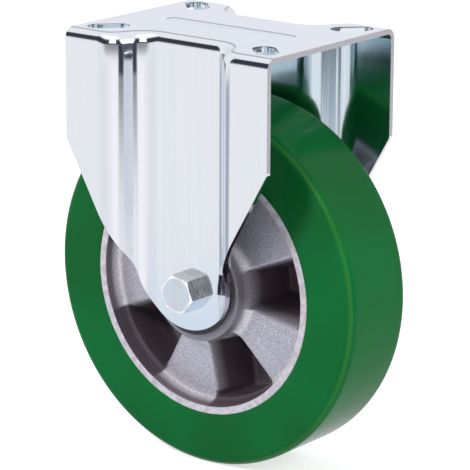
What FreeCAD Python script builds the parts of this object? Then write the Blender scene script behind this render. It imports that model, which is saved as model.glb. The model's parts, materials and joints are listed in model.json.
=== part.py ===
"""Fixed castor: a folded steel bracket that carries a 200 x 50 mm wheel on a bolt and two ball bearings.

Millimetres. The origin is the centre of the mounting plate's top face, +Z up, the wheel rolls along X and
its axle lies along Y below the origin. "Near" is the -Y side, which carries the bolt's head.
"""
import FreeCAD, Part
import math
import os

Vector = FreeCAD.Vector
ALONG_X = Vector(1, 0, 0)
ALONG_Y = Vector(0, 1, 0)
ALONG_Z = Vector(0, 0, 1)

# Wheel
WHEEL_DIAMETER = 200.0
WHEEL_WIDTH = 50.0
TYRE_THICKNESS = 29.0
TYRE_EDGE_RADIUS = 5.0
RIM_END_WALL = 4.0
RIM_WEB_WALL = 6.5
RIM_FILLET = 3.5
HUB_LENGTH = 60.0
HUB_FACE_DIAMETER = 58.0
HUB_DRAFT = 0.13
HUB_EDGE_RADIUS = 1.2
HUB_FILLET = 7.0
HUB_MIDDLE_BORE = 41.0
WEB_HUB_SPAN = 40.0
WEB_RIM_SPAN = 31.0
POCKET_COUNT = 5
POCKET_TURN = 77.0
POCKET_MOUTH_ANGLE = 42.0
POCKET_FLOOR_ANGLE = 23.0
POCKET_CORNER_RADIUS = 4.0
POCKET_FLOOR_CORNER_RADIUS = 3.0
POCKET_PAST_MIDDLE = 9.5
POCKET_HUB_LAND = 0.3
POCKET_RIM_LAND = 0.8
POCKET_RIM_DRAFT = 0.6
POCKET_FACE_SET_BACK = 3.0

# Bracket
TREAD_TO_PLATE = 34.5
PLATE_LENGTH = 135.0
BRACKET_WIDTH = 111.0
SHEET = 3.0
FOLD_INNER_RADIUS = 3.0
HUB_TO_CHEEK = 3.0
WAVE_START = 19.0
WAVE_RUN = 27.0
WAVE_RADIUS = 14.0
WING_HEIGHT = 60.0
WING_CORNER_RADIUS = 4.0
LOBE_RADIUS = 30.0
LOBE_RISE = 8.5
WAIST_RISE = 12.0
WAIST_RADIUS = 60.0
SLOT_TO_PLATE_END = 15.0
SLOT_TO_WING = 18.0
SLOT_WIDTH = 12.5
SLOT_LENGTH = 23.0
SLOT_TURN = 45.0
BEAD_LENGTH = 86.0
BEAD_WIDTH = 9.0
BEAD_DEPTH = 0.8

# Axle
BOLT_DIAMETER = 12.0
BOLT_HEAD_FLATS = 19.0
BOLT_HEAD_HEIGHT = 9.5
BOLT_HEAD_TURN = -10.0
BOLT_TIP_BEYOND_NUT = 3.5
BOLT_TIP_CHAMFER = 1.5
HEX_CHAMFER_SLOPE = 0.5
BOLT_HOLE_PLAY = 0.25
WASHER_DIAMETER = 24.0
WASHER_THICKNESS = 2.5
NUT_FLATS = 19.0
NUT_HEX_HEIGHT = 9.0
NUT_COLLAR_HEIGHT = 3.0
NUT_COLLAR_DIAMETER = 17.5
NUT_COLLAR_WALL = 0.9
NUT_INSERT_THICKNESS = 2.4
NUT_TURN = 14.0
BUSH_DIAMETER = 26.0
CAP_DIAMETER = 50.0
CAP_THICKNESS = 2.0
CAP_LIP_WIDTH = 1.6
CAP_TO_HUB = 0.5

# Ball bearings, 20 x 47 x 14
BEARING_BORE = 20.0
BEARING_DIAMETER = 47.0
BEARING_WIDTH = 14.0
BEARING_RECESS = 1.0
BALL_DIAMETER = 7.938
BALL_COUNT = 8
BALL_PLAY = 0.03
GROOVE_TO_BALL = 1.04
SHOULDER_TO_BALL = 0.6
RING_CORNER_RADIUS = 1.0
CAGE_WIDTH = 10.4
CAGE_THICKNESS = 2.4
CAGE_PLAY = 0.1
SHIELD_THICKNESS = 0.5
SHIELD_INSET = 0.6
SHIELD_PLAY = 0.2

# Places worked out from the sizes above
AXLE_Z = -(SHEET + TREAD_TO_PLATE + WHEEL_DIAMETER / 2)
WHEEL_FACE = WHEEL_WIDTH / 2
RIM_RADIUS = WHEEL_DIAMETER / 2 - TYRE_THICKNESS
RIM_END_RADIUS = RIM_RADIUS - RIM_END_WALL
RIM_ROOT_RADIUS = RIM_RADIUS - RIM_WEB_WALL
HUB_FACE = HUB_LENGTH / 2
WEB_HUB_FACE = WEB_HUB_SPAN / 2
WEB_RIM_FACE = WEB_RIM_SPAN / 2
POCKET_TOP = HUB_FACE - POCKET_FACE_SET_BACK
CHEEK_INSIDE = HUB_FACE + HUB_TO_CHEEK
PANEL_OUTSIDE = CHEEK_INSIDE + SHEET
WING_OUTSIDE = BRACKET_WIDTH / 2
PLATE_END = PLATE_LENGTH / 2
PAST_END = PLATE_END + 20.0
FOLD_OUTER_RADIUS = FOLD_INNER_RADIUS + SHEET
WING_CORNER_Z = -WING_HEIGHT
LOBE_Z = AXLE_Z + LOBE_RISE
WAIST_Z = AXLE_Z + WAIST_RISE
LOBE_BOTTOM_Z = LOBE_Z - LOBE_RADIUS
PITCH_DIAMETER = (BEARING_BORE + BEARING_DIAMETER) / 2
BEARING_OUT = HUB_FACE - BEARING_RECESS
BEARING_IN = BEARING_OUT - BEARING_WIDTH
HOLE_RADIUS = BOLT_DIAMETER / 2 + BOLT_HOLE_PLAY
SIDES = {"near": -1, "far": 1}


# Outlines

def arc(start, middle, end):
    """Circular edge through three points."""
    return Part.Arc(start, middle, end).toShape()


def line(start, end):
    """Straight edge."""
    return Part.makeLine(start, end)


def rounded_corner(before, corner, after, radius):
    """Start, middle and end of the arc that rounds a corner."""
    back = (before - corner).normalize()
    ahead = (after - corner).normalize()
    half_angle = back.getAngle(ahead) / 2
    reach = radius / math.tan(half_angle)
    centre = corner + (back + ahead).normalize() * (radius / math.sin(half_angle))
    start, end = corner + back * reach, corner + ahead * reach
    return start, centre + (corner - centre).normalize() * radius, end


def rounded_face(corners, place):
    """Flat face through corners (u, v, rounding radius), put in space by place(u, v)."""
    points = [place(u, v) for u, v, _ in corners]
    edges, joints = [], []
    for index, (_, _, radius) in enumerate(corners):
        corner, after = points[index], points[(index + 1) % len(points)]
        if radius > 0:
            start, middle, end = rounded_corner(points[index - 1], corner, after, radius)
            edges.append(arc(start, middle, end))
            joints.append((start, end))
        else:
            joints.append((corner, corner))
    for index, (_, leave) in enumerate(joints):
        arrive = joints[(index + 1) % len(joints)][0]
        if leave.distanceToPoint(arrive) > 1e-6:
            edges.append(line(leave, arrive))
    return Part.Face(Part.Wire(Part.__sortEdges__(edges)))


def turned(corners):
    """Solid of revolution about the axle, from corners (radius, y, rounding radius)."""
    face = rounded_face(corners, lambda radius, y: Vector(radius, y, AXLE_Z))
    return face.revolve(Vector(0, 0, AXLE_Z), ALONG_Y, 360)


def tube(outer_radius, inner_radius, low_y, high_y):
    """Plain ring about the axle."""
    base = Vector(0, low_y, AXLE_Z)
    outer = Part.makeCylinder(outer_radius, high_y - low_y, base, ALONG_Y)
    return outer.cut(Part.makeCylinder(inner_radius, high_y - low_y, base, ALONG_Y))


def about_axle(angle, radius, y):
    """Point at an angle from +X, counted towards +Z, at a radius from the axle."""
    turn = math.radians(angle)
    return Vector(radius * math.cos(turn), y, AXLE_Z + radius * math.sin(turn))


# Bracket

def wave(inset):
    """Edges' points of one quarter of the plan line, x and y both outwards, set in from the outer face."""
    run, rise = WAVE_RUN, WING_OUTSIDE - PANEL_OUTSIDE
    radius = min(WAVE_RADIUS, (run ** 2 + rise ** 2) / (4 * rise) - 0.1)
    across = math.hypot(run, 2 * radius - rise)
    straight = math.sqrt(across ** 2 - 4 * radius ** 2)
    slope = math.atan2(run, 2 * radius - rise) - math.atan2(straight, 2 * radius)
    wing_start = WAVE_START + run
    hollow = Vector(WAVE_START, PANEL_OUTSIDE + radius, 0)
    crest = Vector(wing_start, WING_OUTSIDE - radius, 0)

    def on_hollow(angle):
        return hollow + Vector(math.sin(angle), -math.cos(angle), 0) * (radius + inset)

    def on_crest(angle):
        return crest + Vector(-math.sin(angle), math.cos(angle), 0) * (radius - inset)

    middle = Vector(0, PANEL_OUTSIDE - inset, 0)
    end = Vector(PAST_END, WING_OUTSIDE - inset, 0)
    return [(middle, on_hollow(0)), (on_hollow(0), on_hollow(slope / 2), on_hollow(slope)),
            (on_hollow(slope), on_crest(slope)), (on_crest(slope), on_crest(slope / 2), on_crest(0)),
            (on_crest(0), end)]


def waved_block(inset, top_z, fold_radius):
    """Block with the bracket's waved sides, its two long top edges rounded."""
    edges = []
    for side_x in (-1, 1):
        for side_y in (-1, 1):
            for points in wave(inset):
                placed = [Vector(side_x * p.x, side_y * p.y, top_z) for p in points]
                edges.append(arc(*placed) if len(placed) == 3 else line(*placed))
        end_y = WING_OUTSIDE - inset
        edges.append(line(Vector(side_x * PAST_END, -end_y, top_z), Vector(side_x * PAST_END, end_y, top_z)))
    face = Part.Face(Part.Wire(Part.__sortEdges__(edges)))
    block = face.extrude(Vector(0, 0, LOBE_BOTTOM_Z - 10 - top_z))
    long_edges = [edge for edge in block.Edges if edge.BoundBox.ZMin > top_z - 1e-6 and
                  edge.BoundBox.XLength > 1e-6]
    return block.makeFillet(fold_radius, long_edges)


def side_outline():
    """Both cheeks' outline seen along the axle, as a block across the bracket."""
    corner, waist = Vector(PLATE_END, 0, WING_CORNER_Z), Vector(LOBE_RADIUS, 0, WAIST_Z)
    lobe = Vector(0, 0, LOBE_Z)
    up = (corner - waist).normalize()
    out = Vector(up.z, 0, -up.x)
    offset = (waist - lobe).dot(out)
    along = math.sqrt((LOBE_RADIUS + WAIST_RADIUS) ** 2 - (offset + WAIST_RADIUS) ** 2)
    blend = lobe + out * (offset + WAIST_RADIUS) + up * along
    on_taper = blend - out * WAIST_RADIUS
    on_lobe = lobe + (blend - lobe).normalize() * LOBE_RADIUS
    between = (on_taper + on_lobe) / 2
    blend_middle = blend + (between - blend).normalize() * WAIST_RADIUS
    top = Vector(PLATE_END, 0, 10)
    start, middle, end = rounded_corner(top, corner, on_taper, WING_CORNER_RADIUS)

    def mirrored(point):
        return Vector(-point.x, point.y, point.z)

    edges = [line(top, mirrored(top)), arc(on_lobe, Vector(0, 0, LOBE_BOTTOM_Z), mirrored(on_lobe))]
    for flip in (lambda point: point, mirrored):
        edges.append(line(flip(top), flip(start)))
        edges.append(arc(flip(start), flip(middle), flip(end)))
        edges.append(line(flip(end), flip(on_taper)))
        edges.append(arc(flip(on_taper), flip(blend_middle), flip(on_lobe)))
    face = Part.Face(Part.Wire(Part.__sortEdges__(edges)))
    face.translate(Vector(0, -BRACKET_WIDTH, 0))
    return face.extrude(Vector(0, 2 * BRACKET_WIDTH, 0))


def slot_cut(x, y, turn):
    """Round-ended slot through the plate."""
    reach = (SLOT_LENGTH - SLOT_WIDTH) / 2
    depth = 4 * SHEET
    base = Vector(0, 0, -depth / 2)
    slot = Part.makeBox(2 * reach, SLOT_WIDTH, depth, base + Vector(-reach, -SLOT_WIDTH / 2, 0))
    for end in (-reach, reach):
        slot = slot.fuse(Part.makeCylinder(SLOT_WIDTH / 2, depth, base + Vector(end, 0, 0), ALONG_Z))
    slot.rotate(Vector(0, 0, 0), ALONG_Z, turn)
    slot.translate(Vector(x, y, 0))
    return slot


def bead_form(set_off):
    """Round-ended bar along X whose underside is the pressed bead, grown by a set-off."""
    radius = ((BEAD_WIDTH / 2) ** 2 + BEAD_DEPTH ** 2) / (2 * BEAD_DEPTH)
    reach = (BEAD_LENGTH - BEAD_WIDTH) / 2
    height = radius - BEAD_DEPTH
    start = Vector(-reach, 0, height)
    form = Part.makeCylinder(radius + set_off, 2 * reach, start, ALONG_X)
    for end in (-reach, reach):
        form = form.fuse(Part.makeSphere(radius + set_off, Vector(end, 0, height)))
    return form


def fork_bracket():
    """Plate and both cheeks, folded from one sheet."""
    outer = waved_block(0, 0, FOLD_OUTER_RADIUS)
    inner = waved_block(SHEET, -SHEET, FOLD_INNER_RADIUS)
    bracket = outer.cut(inner).common(side_outline())
    below = Part.makeBox(PLATE_LENGTH, BRACKET_WIDTH, SHEET * 2,
                         Vector(-PLATE_END, -WING_OUTSIDE, -SHEET * 3))
    bracket = bracket.fuse(bead_form(SHEET).common(below)).cut(bead_form(0))
    for side_x in (-1, 1):
        for side_y in (-1, 1):
            centre = (side_x * (PLATE_END - SLOT_TO_PLATE_END), side_y * (WING_OUTSIDE - SLOT_TO_WING))
            bracket = bracket.cut(slot_cut(*centre, side_x * side_y * SLOT_TURN))
    hole = Part.makeCylinder(HOLE_RADIUS, 2 * BRACKET_WIDTH, Vector(0, -BRACKET_WIDTH, AXLE_Z), ALONG_Y)
    return bracket.cut(hole).removeSplitter()


# Wheel

def tyre():
    """Cast ring bonded to the wheel centre."""
    radius = WHEEL_DIAMETER / 2
    return turned([(RIM_RADIUS, -WHEEL_FACE, 0), (radius, -WHEEL_FACE, TYRE_EDGE_RADIUS),
                   (radius, WHEEL_FACE, TYRE_EDGE_RADIUS), (RIM_RADIUS, WHEEL_FACE, 0)])


def sector_wire(y, half_angle, inner_radius, outer_radius, corner, turn):
    """Ring sector with rounded corners, its middle turned from +X."""
    corner = min(corner, 0.4 * (outer_radius - inner_radius))
    outer_lean = math.degrees(math.asin(corner / (outer_radius - corner)))
    inner_lean = math.degrees(math.asin(corner / (inner_radius + corner)))
    line_out = math.sqrt((outer_radius - corner) ** 2 - corner ** 2)
    line_in = math.sqrt((inner_radius + corner) ** 2 - corner ** 2)

    def at(angle, radius):
        return about_axle(turn + angle, radius, y)

    edges = []
    for side in (-1, 1):
        wall = side * half_angle
        for lean, arc_radius, line_radius, seat in ((outer_lean, outer_radius, line_out, outer_radius - corner),
                                                    (inner_lean, inner_radius, line_in, inner_radius + corner)):
            centre = at(wall - side * lean, seat)
            on_arc, on_line = at(wall - side * lean, arc_radius), at(wall, line_radius)
            middle = centre + ((on_arc + on_line) / 2 - centre).normalize() * corner
            edges.append(arc(on_arc, middle, on_line))
        edges.append(line(at(wall, line_out), at(wall, line_in)))
    for lean, radius in ((outer_lean, outer_radius), (inner_lean, inner_radius)):
        reach = half_angle - lean
        edges.append(arc(at(-reach, radius), at(0, radius), at(reach, radius)))
    return Part.Wire(Part.__sortEdges__(edges))


def hub_radius(out):
    """Radius of the hub's drafted side at a distance out from the wheel's middle plane."""
    return HUB_FACE_DIAMETER / 2 + HUB_DRAFT * (HUB_FACE - out)


def pocket(side, turn):
    """Drafted pocket cut from one side, through the web's cone and past its middle, along the hub's side."""
    rim = RIM_ROOT_RADIUS - POCKET_RIM_LAND
    mouth = sector_wire(side * POCKET_TOP, POCKET_MOUTH_ANGLE / 2, hub_radius(POCKET_TOP) + POCKET_HUB_LAND, rim,
                        POCKET_CORNER_RADIUS, turn)
    floor = sector_wire(-side * POCKET_PAST_MIDDLE, POCKET_FLOOR_ANGLE / 2,
                        hub_radius(-POCKET_PAST_MIDDLE) + POCKET_HUB_LAND, rim - POCKET_RIM_DRAFT,
                        POCKET_FLOOR_CORNER_RADIUS, turn)
    return Part.makeLoft([floor, mouth], True, True)


def wheel_centre():
    """Die-cast centre: rim, conical web with pockets from both sides in turn, and drafted hub."""
    half = [(HUB_MIDDLE_BORE / 2, BEARING_IN, 0), (BEARING_DIAMETER / 2, BEARING_IN, 0),
            (BEARING_DIAMETER / 2, HUB_FACE, 0), (hub_radius(HUB_FACE), HUB_FACE, HUB_EDGE_RADIUS),
            (hub_radius(WEB_HUB_FACE), WEB_HUB_FACE, HUB_FILLET), (RIM_ROOT_RADIUS, WEB_RIM_FACE, RIM_FILLET),
            (RIM_END_RADIUS, WHEEL_FACE, 0), (RIM_RADIUS, WHEEL_FACE, 0)]
    mirrored = [(radius, -y, rounding) for radius, y, rounding in reversed(half)]
    centre = turned(half + mirrored)
    for index in range(POCKET_COUNT):
        step = 360.0 / POCKET_COUNT
        centre = centre.cut(pocket(-1, POCKET_TURN + index * step))
        centre = centre.cut(pocket(1, POCKET_TURN + (index + 0.5) * step))
    return centre


# Bearings

def groove(ring_radius, shoulder_radius, side):
    """Cutter for the ball track, its middle on the bearing's middle plane."""
    track = BALL_DIAMETER * GROOVE_TO_BALL / 2
    bottom = PITCH_DIAMETER / 2 + side * (BALL_DIAMETER / 2 + BALL_PLAY)
    return Part.makeTorus(bottom - side * track, track, Vector(0, 0, AXLE_Z), ALONG_Y)


def bearing_ring(bore_radius, outside_radius, round_bore, side):
    """One bearing ring about the origin's plane, with its ball track."""
    half = BEARING_WIDTH / 2
    bore_round = RING_CORNER_RADIUS if round_bore else 0
    outside_round = 0 if round_bore else RING_CORNER_RADIUS
    ring = turned([(bore_radius, -half, bore_round), (outside_radius, -half, outside_round),
                   (outside_radius, half, outside_round), (bore_radius, half, bore_round)])
    return ring.cut(groove(bore_radius, outside_radius, side))


def ball_places():
    """Centres of the balls about the axle."""
    return [about_axle(index * 360.0 / BALL_COUNT, PITCH_DIAMETER / 2, 0) for index in range(BALL_COUNT)]


def bearing_pieces():
    """The pieces of one sealed bearing, its middle plane at y = 0."""
    shoulder = SHOULDER_TO_BALL * BALL_DIAMETER
    inner_shoulder, outer_shoulder = (PITCH_DIAMETER - shoulder) / 2, (PITCH_DIAMETER + shoulder) / 2
    balls = [Part.makeSphere(BALL_DIAMETER / 2, place) for place in ball_places()]
    cage = tube((PITCH_DIAMETER + CAGE_THICKNESS) / 2, (PITCH_DIAMETER - CAGE_THICKNESS) / 2,
                -CAGE_WIDTH / 2, CAGE_WIDTH / 2)
    for place in ball_places():
        radial = Vector(place.x, 0, place.z - AXLE_Z)
        cage = cage.cut(Part.makeCylinder(BALL_DIAMETER / 2 + CAGE_PLAY, PITCH_DIAMETER,
                                          Vector(0, 0, AXLE_Z), radial))
    shield_out = BEARING_WIDTH / 2 - SHIELD_INSET
    shield = tube(outer_shoulder, inner_shoulder + SHIELD_PLAY, shield_out - SHIELD_THICKNESS, shield_out)
    inner_shield = shield.mirror(Vector(0, 0, 0), ALONG_Y)
    return {"inner_ring": bearing_ring(BEARING_BORE / 2, inner_shoulder, True, -1),
            "outer_ring": bearing_ring(outer_shoulder, BEARING_DIAMETER / 2, False, 1),
            "balls": Part.makeCompound(balls), "cage": cage,
            "outer_shield": shield, "inner_shield": inner_shield}


def placed_bearing(side):
    """One bearing in its end of the hub, its outer shield towards the cheek."""
    pieces = {}
    for name, shape in bearing_pieces().items():
        turned_shape = shape if side > 0 else shape.mirror(Vector(0, 0, 0), ALONG_Y)
        turned_shape.translate(Vector(0, side * (BEARING_IN + BEARING_OUT) / 2, 0))
        pieces[name] = turned_shape
    return pieces


# Axle

def across(side, low, high):
    """Lower and upper y of a stretch measured outwards on one side."""
    return sorted((side * low, side * high))


def hexagon(flats, low_y, high_y, turn):
    """Hexagonal bar about the axle, one of its corners turned from +X."""
    radius = flats / 2 / math.cos(math.radians(30))
    corners = [about_axle(turn + 60 * index, radius, low_y) for index in range(7)]
    return Part.Face(Part.makePolygon(corners)).extrude(Vector(0, high_y - low_y, 0))


def chamfer_cone(flats, face_y, base_y):
    """Cone that breaks a hexagon's corners at its outer face."""
    face_radius = 0.475 * flats
    length = abs(base_y - face_y)
    base_radius = face_radius + length / HEX_CHAMFER_SLOPE
    direction = Vector(0, math.copysign(1, base_y - face_y), 0)
    return Part.makeCone(face_radius, base_radius, length, Vector(0, face_y, AXLE_Z), direction)


def axle_bolt():
    """Hexagon bolt, its head on the near cheek."""
    head_base = -PANEL_OUTSIDE
    head_face = head_base - BOLT_HEAD_HEIGHT
    head = hexagon(BOLT_HEAD_FLATS, head_face, head_base, BOLT_HEAD_TURN)
    head = head.common(chamfer_cone(BOLT_HEAD_FLATS, head_face, head_base))
    radius = BOLT_DIAMETER / 2
    tip = PANEL_OUTSIDE + WASHER_THICKNESS + NUT_HEX_HEIGHT + NUT_COLLAR_HEIGHT + BOLT_TIP_BEYOND_NUT
    shank = turned([(0, head_base, 0), (radius, head_base, 0), (radius, tip - BOLT_TIP_CHAMFER, 0),
                    (radius - BOLT_TIP_CHAMFER, tip, 0), (0, tip, 0)])
    return head.fuse(shank).removeSplitter()


def nut_pieces():
    """Washer, lock nut and its nylon ring on the far cheek."""
    start = PANEL_OUTSIDE + WASHER_THICKNESS
    hex_end = start + NUT_HEX_HEIGHT
    end = hex_end + NUT_COLLAR_HEIGHT
    bore = BOLT_DIAMETER / 2
    body = hexagon(NUT_FLATS, start, hex_end, NUT_TURN).common(chamfer_cone(NUT_FLATS, hex_end, start))
    collar = tube(NUT_COLLAR_DIAMETER / 2, bore, hex_end, end)
    insert_radius = NUT_COLLAR_DIAMETER / 2 - NUT_COLLAR_WALL
    insert_start = end - NUT_INSERT_THICKNESS
    nut = body.fuse(collar).cut(Part.makeCylinder(bore, end - start, Vector(0, start, AXLE_Z), ALONG_Y))
    nut = nut.cut(tube(insert_radius, bore, insert_start, end)).removeSplitter()
    return {"nut_washer": tube(WASHER_DIAMETER / 2, HOLE_RADIUS, PANEL_OUTSIDE, start),
            "lock_nut": nut, "nut_insert": tube(insert_radius, bore, insert_start, end)}


def dust_cap(side):
    """Disc on the side bush, its lip close to the hub's face."""
    outer, bore = CAP_DIAMETER / 2, BUSH_DIAMETER / 2
    disc_in = CHEEK_INSIDE - CAP_THICKNESS
    lip_in = HUB_FACE + CAP_TO_HUB
    lip = outer - CAP_LIP_WIDTH
    corners = [(bore, CHEEK_INSIDE, 0), (outer, CHEEK_INSIDE, 0.8), (outer, lip_in, 0), (lip, lip_in, 0),
               (lip, disc_in, 0), (bore, disc_in, 0)]
    return turned([(radius, side * y, rounding) for radius, y, rounding in corners])


def axle_pieces():
    """Everything on the bolt between and outside the cheeks."""
    sleeve_radius = BEARING_BORE / 2
    pieces = {"axle_bolt": axle_bolt(),
              "axle_sleeve": tube(sleeve_radius, HOLE_RADIUS, -CHEEK_INSIDE, CHEEK_INSIDE),
              "bearing_spacer": tube(BUSH_DIAMETER / 2, sleeve_radius, -BEARING_IN, BEARING_IN)}
    pieces.update(nut_pieces())
    for name, side in SIDES.items():
        bush = tube(BUSH_DIAMETER / 2, sleeve_radius, *across(side, BEARING_OUT, CHEEK_INSIDE))
        pieces[name + "_side_bush"] = bush
        pieces[name + "_dust_cap"] = dust_cap(side)
    return pieces


def castor():
    """Every piece of the castor by its node's name."""
    pieces = {"fork_bracket": fork_bracket(), "tyre": tyre(), "wheel_centre": wheel_centre()}
    pieces.update(axle_pieces())
    for name, side in SIDES.items():
        for piece, shape in placed_bearing(side).items():
            pieces[name + "_bearing_" + piece] = shape
    return pieces


os.makedirs("parts", exist_ok=True)
for node, shape in castor().items():
    shape.exportStep("parts/" + node + ".step")
    box = shape.BoundBox
    print(f"{node:28s} solids {len(shape.Solids)} valid {shape.isValid()} volume {shape.Volume / 1000:9.3f} cm3 "
          f"size {box.XLength:.2f} x {box.YLength:.2f} x {box.ZLength:.2f}")
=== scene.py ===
"""Fixed castor: the looks of its bracket, wheel and axle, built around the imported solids.

Metres, in the solids' own frame: the origin is the centre of the mounting plate's top face, +Z is up, the
wheel rolls along X and its axle lies along Y. "Near" is the -Y side, which carries the bolt's head.
"""
from __future__ import annotations

import json
import logging
import math
from dataclasses import dataclass, field
from enum import Enum, IntEnum
from typing import Any, Callable, Iterable, Sequence

import bmesh
import bpy
from mathutils import Matrix, Vector

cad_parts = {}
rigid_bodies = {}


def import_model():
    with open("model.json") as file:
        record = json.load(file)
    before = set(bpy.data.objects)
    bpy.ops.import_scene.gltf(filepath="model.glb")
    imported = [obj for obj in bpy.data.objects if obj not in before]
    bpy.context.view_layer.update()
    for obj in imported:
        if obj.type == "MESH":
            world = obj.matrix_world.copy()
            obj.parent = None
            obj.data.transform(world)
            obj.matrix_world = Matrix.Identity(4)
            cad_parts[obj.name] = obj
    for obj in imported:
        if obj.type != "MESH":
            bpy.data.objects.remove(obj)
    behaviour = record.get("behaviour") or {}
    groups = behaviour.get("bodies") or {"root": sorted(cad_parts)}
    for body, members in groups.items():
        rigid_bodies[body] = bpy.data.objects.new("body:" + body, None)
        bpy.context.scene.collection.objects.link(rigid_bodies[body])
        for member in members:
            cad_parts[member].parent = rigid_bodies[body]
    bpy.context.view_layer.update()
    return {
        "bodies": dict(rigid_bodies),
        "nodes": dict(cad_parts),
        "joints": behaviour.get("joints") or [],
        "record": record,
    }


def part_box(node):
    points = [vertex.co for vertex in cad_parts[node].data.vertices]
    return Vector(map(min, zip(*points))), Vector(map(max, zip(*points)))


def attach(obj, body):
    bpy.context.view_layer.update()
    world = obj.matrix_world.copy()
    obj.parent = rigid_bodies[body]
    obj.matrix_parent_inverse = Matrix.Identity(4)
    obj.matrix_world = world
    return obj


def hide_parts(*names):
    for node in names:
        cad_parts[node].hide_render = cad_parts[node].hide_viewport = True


log = logging.getLogger("fixed_castor")
logging.basicConfig(level=logging.INFO, format="%(message)s")

MM = 0.001
WELD = 0.001 * MM
FULL_TURN = 2 * math.pi
EDGE_STEPS = 2
EDGE_PROFILE = 0.6
FLAT_WEIGHT = 100
Colour = tuple[float, float, float]
Point2 = tuple[float, float]
Point3 = tuple[float, float, float]
Stretch = tuple[float, float]
Socket = bpy.types.NodeSocket
BMesh = bmesh.types.BMesh


class Side(Enum):
    """The two ends of the axle, by the start of their nodes' names."""

    NEAR = "near"
    FAR = "far"


class Slot(Enum):
    """The record's finishes of the pieces made here."""

    SHEET = "zinc_plated_sheet"
    TYRE = "green_polyurethane"
    CASTING = "cast_aluminium"
    BOLT = "zinc_plated_bolt"


class SheetZone(IntEnum):
    """The bracket's zones, the first three in the order of its finishes."""

    FACE = 0
    TORN_EDGE = 1
    INSIDE = 2
    PLATED_EDGE = 3


class BoltZone(IntEnum):
    """The bolt's zones, in the order of its finishes."""

    PLATED = 0
    HEAD_END = 1
    UPPER_FLAT = 2
    SIDE_FLAT = 3


# Node trees

class Tree:
    """Shorthand for one shader or geometry node tree."""

    def __init__(self, tree: bpy.types.NodeTree) -> None:
        """Wraps a tree."""
        self.tree = tree

    def node(self, kind: str, **settings: Any) -> bpy.types.Node:
        """Adds a node.

        Args:
            kind: the node's type name.
            settings: properties to set on it.

        Returns:
            The new node.
        """
        made = self.tree.nodes.new(kind)
        for name, value in settings.items():
            setattr(made, name, value)
        return made

    def feed(self, target: Socket, value: Any) -> None:
        """Links a socket to the target, or sets the target's own value.

        Args:
            target: the socket to feed.
            value: a socket, a value, or None to leave the target as it is.
        """
        if isinstance(value, Socket):
            self.tree.links.new(value, target)
        elif value is not None:
            target.default_value = value

    def fill(self, node: bpy.types.Node, **values: Any) -> bpy.types.Node:
        """Feeds a node's inputs by name.

        Args:
            node: the node.
            values: sockets or values, their names with underscores for spaces.

        Returns:
            The same node.
        """
        for name, value in values.items():
            self.feed(node.inputs[name.replace("_", " ")], value)
        return node

    def math(self, operation: str, first: Any, second: Any = None, third: Any = None) -> Socket:
        """One math node, fed with sockets or numbers.

        Args:
            operation: the math node's operation.
            first: the first operand.
            second: the second operand, where there is one.
            third: the third operand, where there is one.

        Returns:
            The result's socket.
        """
        made = self.node("ShaderNodeMath", operation=operation)
        for socket, value in zip(made.inputs, (first, second, third)):
            self.feed(socket, value)
        return made.outputs[0]

    def times(self, first: Any, second: Any) -> Socket:
        """The product of two sockets or numbers."""
        return self.math("MULTIPLY", first, second)

    def plus(self, first: Any, second: Any) -> Socket:
        """The sum of two sockets or numbers."""
        return self.math("ADD", first, second)

    def minus(self, first: Any, second: Any) -> Socket:
        """The first socket or number less the second."""
        return self.math("SUBTRACT", first, second)

    def combine(self, x: Any, y: Any, z: Any) -> Socket:
        """A vector from three sockets or numbers.

        Args:
            x: its first part.
            y: its second part.
            z: its third part.

        Returns:
            The vector's socket.
        """
        made = self.node("ShaderNodeCombineXYZ")
        return self.fill(made, X=x, Y=y, Z=z).outputs[0]

    def separate(self, vector: Socket) -> list[Socket]:
        """A vector's three parts."""
        made = self.node("ShaderNodeSeparateXYZ")
        return list(self.fill(made, Vector=vector).outputs)

    def ramp(self, value: Any, low: float, high: float, to_low: float = 0.0, to_high: float = 1.0,
             smooth: bool = True) -> Socket:
        """Maps a stretch of a value to another, held at its ends.

        Args:
            value: the value's socket.
            low: where the stretch starts.
            high: where it ends.
            to_low: the result at its start.
            to_high: the result at its end.
            smooth: whether it eases in and out.

        Returns:
            The result's socket.
        """
        kind = "SMOOTHSTEP" if smooth else "LINEAR"
        made = self.node("ShaderNodeMapRange", interpolation_type=kind, clamp=True)
        for socket, number in zip(made.inputs, (value, low, high, to_low, to_high)):
            self.feed(socket, number)
        return made.outputs[0]

    def ramp_at(self, value: Any, edge: float, stretch: Stretch, to_low: float = 0.0,
                to_high: float = 1.0) -> Socket:
        """A smooth ramp whose stretch is counted from an edge."""
        return self.ramp(value, edge + stretch[0], edge + stretch[1], to_low, to_high)

    def window(self, value: Any, rise: Stretch, fall: Stretch, peak: float = 1.0) -> Socket:
        """A value's window: up from 0 over the rise, and from the peak down to 0 over the fall."""
        return self.times(self.ramp(value, *rise), self.ramp(value, *fall, peak, 0.0))

    def mix(self, factor: Any, first: Any, second: Any) -> Socket:
        """Mixes two colours.

        Args:
            factor: how much of the second colour there is.
            first: the first colour, or its socket.
            second: the second colour, or its socket.

        Returns:
            The mixed colour's socket.
        """
        made = self.node("ShaderNodeMix", data_type="RGBA")
        self.feed(made.inputs["Factor"], factor)
        for socket, value in zip([s for s in made.inputs if s.type == "RGBA"], (first, second)):
            self.feed(socket, (*value, 1.0) if isinstance(value, tuple) else value)
        return next(s for s in made.outputs if s.type == "RGBA")

    def noise(self, place: Socket, scale: Any, detail: float) -> Socket:
        """Smooth noise at a place."""
        made = self.node("ShaderNodeTexNoise", noise_dimensions="3D")
        return self.fill(made, Vector=place, Scale=scale, Detail=detail).outputs["Fac"]


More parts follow.
